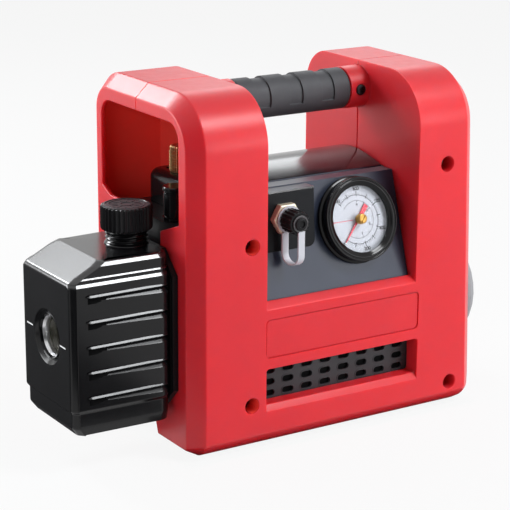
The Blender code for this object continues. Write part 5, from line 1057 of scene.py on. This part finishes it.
def solenoid():
    profile = [(4.4, 0), (8.2, 0), (8.2, 2), (7.3, 2.4), (7.3, 3.2), (7.7, 3.5), (7.7, 17.7), (7.3, 18),
               (7.3, 18.9), (8.2, 19.3), (8.2, 20.8), (7.6, 21.5), (0, 21.5), (0, 19.9), (4.4, 19.9)]
    shape = turned(profile, "z", (12.6, -27.2, 147.3), 56, ring=True)
    piece("solenoid_can", shape, BEZEL, "solenoid_coil", angle=28)


def feet():
    profile = [(0, -1.1), (2.4, -1.1), (2.6, -2.3), (6.4, -2.3), (7.3, -2.05), (7.8, -1.6), (8, -1),
               (8, -0.3), (0, -0.3)]
    for number, (x, y) in enumerate(((28, -42), (28, 36), (192, -42), (192, 36)), start=1):
        shape = turned(profile, "z", (x, y, 0), 40)
        piece(f"foot_pad_{number}", shape, RUBBER, f"foot_{number}")


def drain_plug():
    hexagon = turned([(5.4, 19.7), (6.1, 20.2), (6.1, 23.4), (5.7, 23.7)], "z", DRAIN, HEX)
    result = carve(hexagon, add(drum(6.1, 23.2, 24.2, "z", DRAIN, 48)),
                   add(drum(4.2, 23.5, 29.4, "z", DRAIN, 40)))
    piece("drain_plug_hex", soften(result, 0.25, 2, 40), BRASS, "drain_plug")


valve_block()
ballast_knob()
solenoid()
feet()
drain_plug()
grip()
grille()
for number, (x, z) in enumerate(SCREWS, start=1):
    screw(f"shell_screw_head_{number}", f"shell_screw_{number}", x, z, -57.8, 4.5, 3, 2, 16)
for end, x in zip(("left", "right"), STUB_MIDDLES):
    screw(f"handle_screw_head_{end}", f"handle_screw_{end}", x, GRIP_Z, -13.3, 3.6, 1.8, 1.7, -6.3)


# CAD nodes that stay, with their finishes

FINISHES = {
    STEEL: ["handle_core", "drive_shaft", "front_bearing", "rear_bearing", "stage1_rotor", "stage2_rotor",
            "motor_rotor", "motor_cradle", "solenoid_plunger"],
    BLACK: ["motor_housing", "cooling_fan", "capacitor", "power_inlet", "switch_frame", "power_switch"],
    CAST: ["stage1_stator", "stage2_stator", "middle_plate", "pump_end_plate"],
    CARBON: ["stage1_vane_a", "stage1_vane_b", "stage2_vane_a", "stage2_vane_b"],
    GREY: ["motor_end_bell", "fan_cowl"],
    # The gasket takes the dead black, painted shade where the tank meets the housing.
    RUBBER: ["intake_pipe"], SHADE_BLACK: ["tank_gasket"], SATIN: ["pump_flange"], COPPER: ["motor_stator"],
}
for finish, names in FINISHES.items():
    for name in names:
        mesh = NODES[name].data
        mesh.materials.clear()
        mesh.materials.append(finish)
for name in ("fan_cowl", "power_inlet", "switch_frame", "power_switch", "cooling_fan"):
    edges = NODES[name].modifiers.new("edges", "BEVEL")
    edges.width = 0.45 * MM
    edges.segments = 2
    edges.limit_method = "ANGLE"
    edges.angle_limit = math.radians(35)
    weigh_normals(NODES[name])


# Stage

def seen_rays(tree):
    """1 for the rays that show the surroundings: the camera's, and those that gloss and glass send on."""
    path = tree.nodes.new("ShaderNodeLightPath")
    seen = path.outputs["Is Camera Ray"]
    for ray in ("Is Glossy Ray", "Is Transmission Ray"):
        most = tree.nodes.new("ShaderNodeMath")
        most.operation = "MAXIMUM"
        wire(tree, seen, most, 0)
        wire(tree, path.outputs[ray], most, 1)
        seen = most.outputs[0]
    return seen


def staged(name, shape, finish):
    mesh = mesh_of(name, shape)
    mesh.materials.append(finish)
    made = linked(name, mesh)
    return made


def floor():
    shape = bmesh.new()
    bmesh.ops.create_grid(shape, x_segments=4, y_segments=4, size=6)
    finish, tree, shader = node_tree("floor_white")
    wire(tree, ramp(tree, noise(tree, 3), (0.61, 0.61, 0.61), (0.63, 0.63, 0.63)), shader, "Base Color")
    settle(shader, Roughness=0.9, Specular_IOR_Level=0.1)
    glow = add_node(tree, "ShaderNodeEmission", Color=(1, 1, 1, 1), Strength=1)
    mixed = tree.nodes.new("ShaderNodeMixShader")
    share = tree.nodes.new("ShaderNodeMath")
    share.operation = "MULTIPLY"
    share.inputs[1].default_value = 0.9
    wire(tree, seen_rays(tree), share, 0)
    wire(tree, share.outputs[0], mixed, "Fac")
    wire(tree, shader.outputs["BSDF"], mixed, 1)
    wire(tree, glow.outputs["Emission"], mixed, 2)
    wire(tree, mixed.outputs["Shader"], tree.nodes["Material Output"], "Surface")
    staged("floor", shape, finish)


MIDDLE = (0, 0, 0.12)


def aimed(direction, distance, aim=MIDDLE):
    place_at = Vector(aim) + Vector(direction).normalized() * distance
    turn = (Vector(aim) - place_at).to_track_quat("-Z", "Y")
    return Matrix.LocRotScale(place_at, turn, None)


def flag(name, matrix, size):
    """A dark card out of the camera's sight, which takes the glare off the faces turned to it."""
    shape = bmesh.new()
    bmesh.ops.create_grid(shape, x_segments=2, y_segments=2, size=0.5)
    shape.transform(Matrix.Diagonal((size[0], size[1], 1, 1)))
    made = staged(name, shape, moulded(name + "_black", (0.012, 0.012, 0.013), 0.8))
    made.matrix_world = matrix
    made.visible_camera = False
    return made


def area(name, direction, distance, size, radiance, aim=MIDDLE, mirrored=True):
    """A soft box light that shines at the object from a direction."""
    data = bpy.data.lights.new(name, "AREA")
    data.shape = "RECTANGLE"
    data.size, data.size_y = size
    data.energy = radiance * math.pi * size[0] * size[1]
    data.color = (0.95, 0.975, 1)
    made = linked(name, data)
    made.matrix_world = aimed(direction, distance, aim)
    made.visible_camera = False
    made.visible_glossy = mirrored


def world():
    made = bpy.data.worlds.new("studio")
    bpy.context.scene.world = made
    made.use_nodes = True
    tree = made.node_tree
    back = settle(tree.nodes["Background"], Color=(1, 1, 1, 1))
    wire(tree, spread(tree, seen_rays(tree), 0.12, 1), back, "Strength")


def camera():
    data = bpy.data.cameras.new("photo")
    data.lens = 128.66
    data.sensor_width = 36
    data.clip_start, data.clip_end = 0.01, 100
    made = linked("photo", data)
    right, up, back = (0.8445, -0.5354, 0.0064), (0.1439, 0.2383, 0.9605), (-0.5158, -0.8103, 0.2783)
    place_at = Vector((-0.5384, -0.9859, 0.4441)) + OFFSET
    made.matrix_world = Matrix([*zip(right, up, back, place_at), (0, 0, 0, 1)])
    bpy.context.scene.camera = made


floor()
world()
camera()
area("key_back", (-0.42, 1.07, 0.76), 1.37, (0.34, 0.26), 32)
area("key_slope", (-0.08, 1.07, 0.7), 1.28, (0.26, 0.2), 3.5)
area("back_right", (0.69, 0.89, 0.66), 1.36, (0.46, 0.33), 3.1)
area("key_left", (-0.8, 0.62, 0.2), 1.3, (0.7, 0.6), 8.5)
area("top_right", (0.463, -0.701, 0.96), 1.275, (0.34, 0.26), 31)
area("panel_glow", (0.516, -0.825, 0.229), 0.55, (0.26, 0.16), 4.5, (0.028, -0.054, 0.107))
area("front_fill", (0.6, -0.8, 0.25), 1.6, (1.3, 1), 3.9, mirrored=False)
area("left_fill", (-0.85, -0.45, 0.25), 1.5, (0.8, 0.8), 2.3, mirrored=False)
flag("flag_left", aimed((-0.72, -0.69, 0.22), 1.7), (1.9, 1.5))
for name, middle, size in (("card_back", (-0.34, 0.3), (0.55, 0.62)),
                           ("card_front", (-0.6, -0.5), (1.1, 0.78))):
    card = flag(name, Matrix.Translation((*middle, 0.004)), size)
    card.visible_diffuse = card.visible_shadow = card.visible_transmission = False
under = flag("card_under", Matrix.Translation((0.0285, 0.002, 0.0006)), (0.23, 0.136))
under.visible_shadow = under.visible_transmission = False
bpy.context.scene.view_settings.view_transform = "Standard"
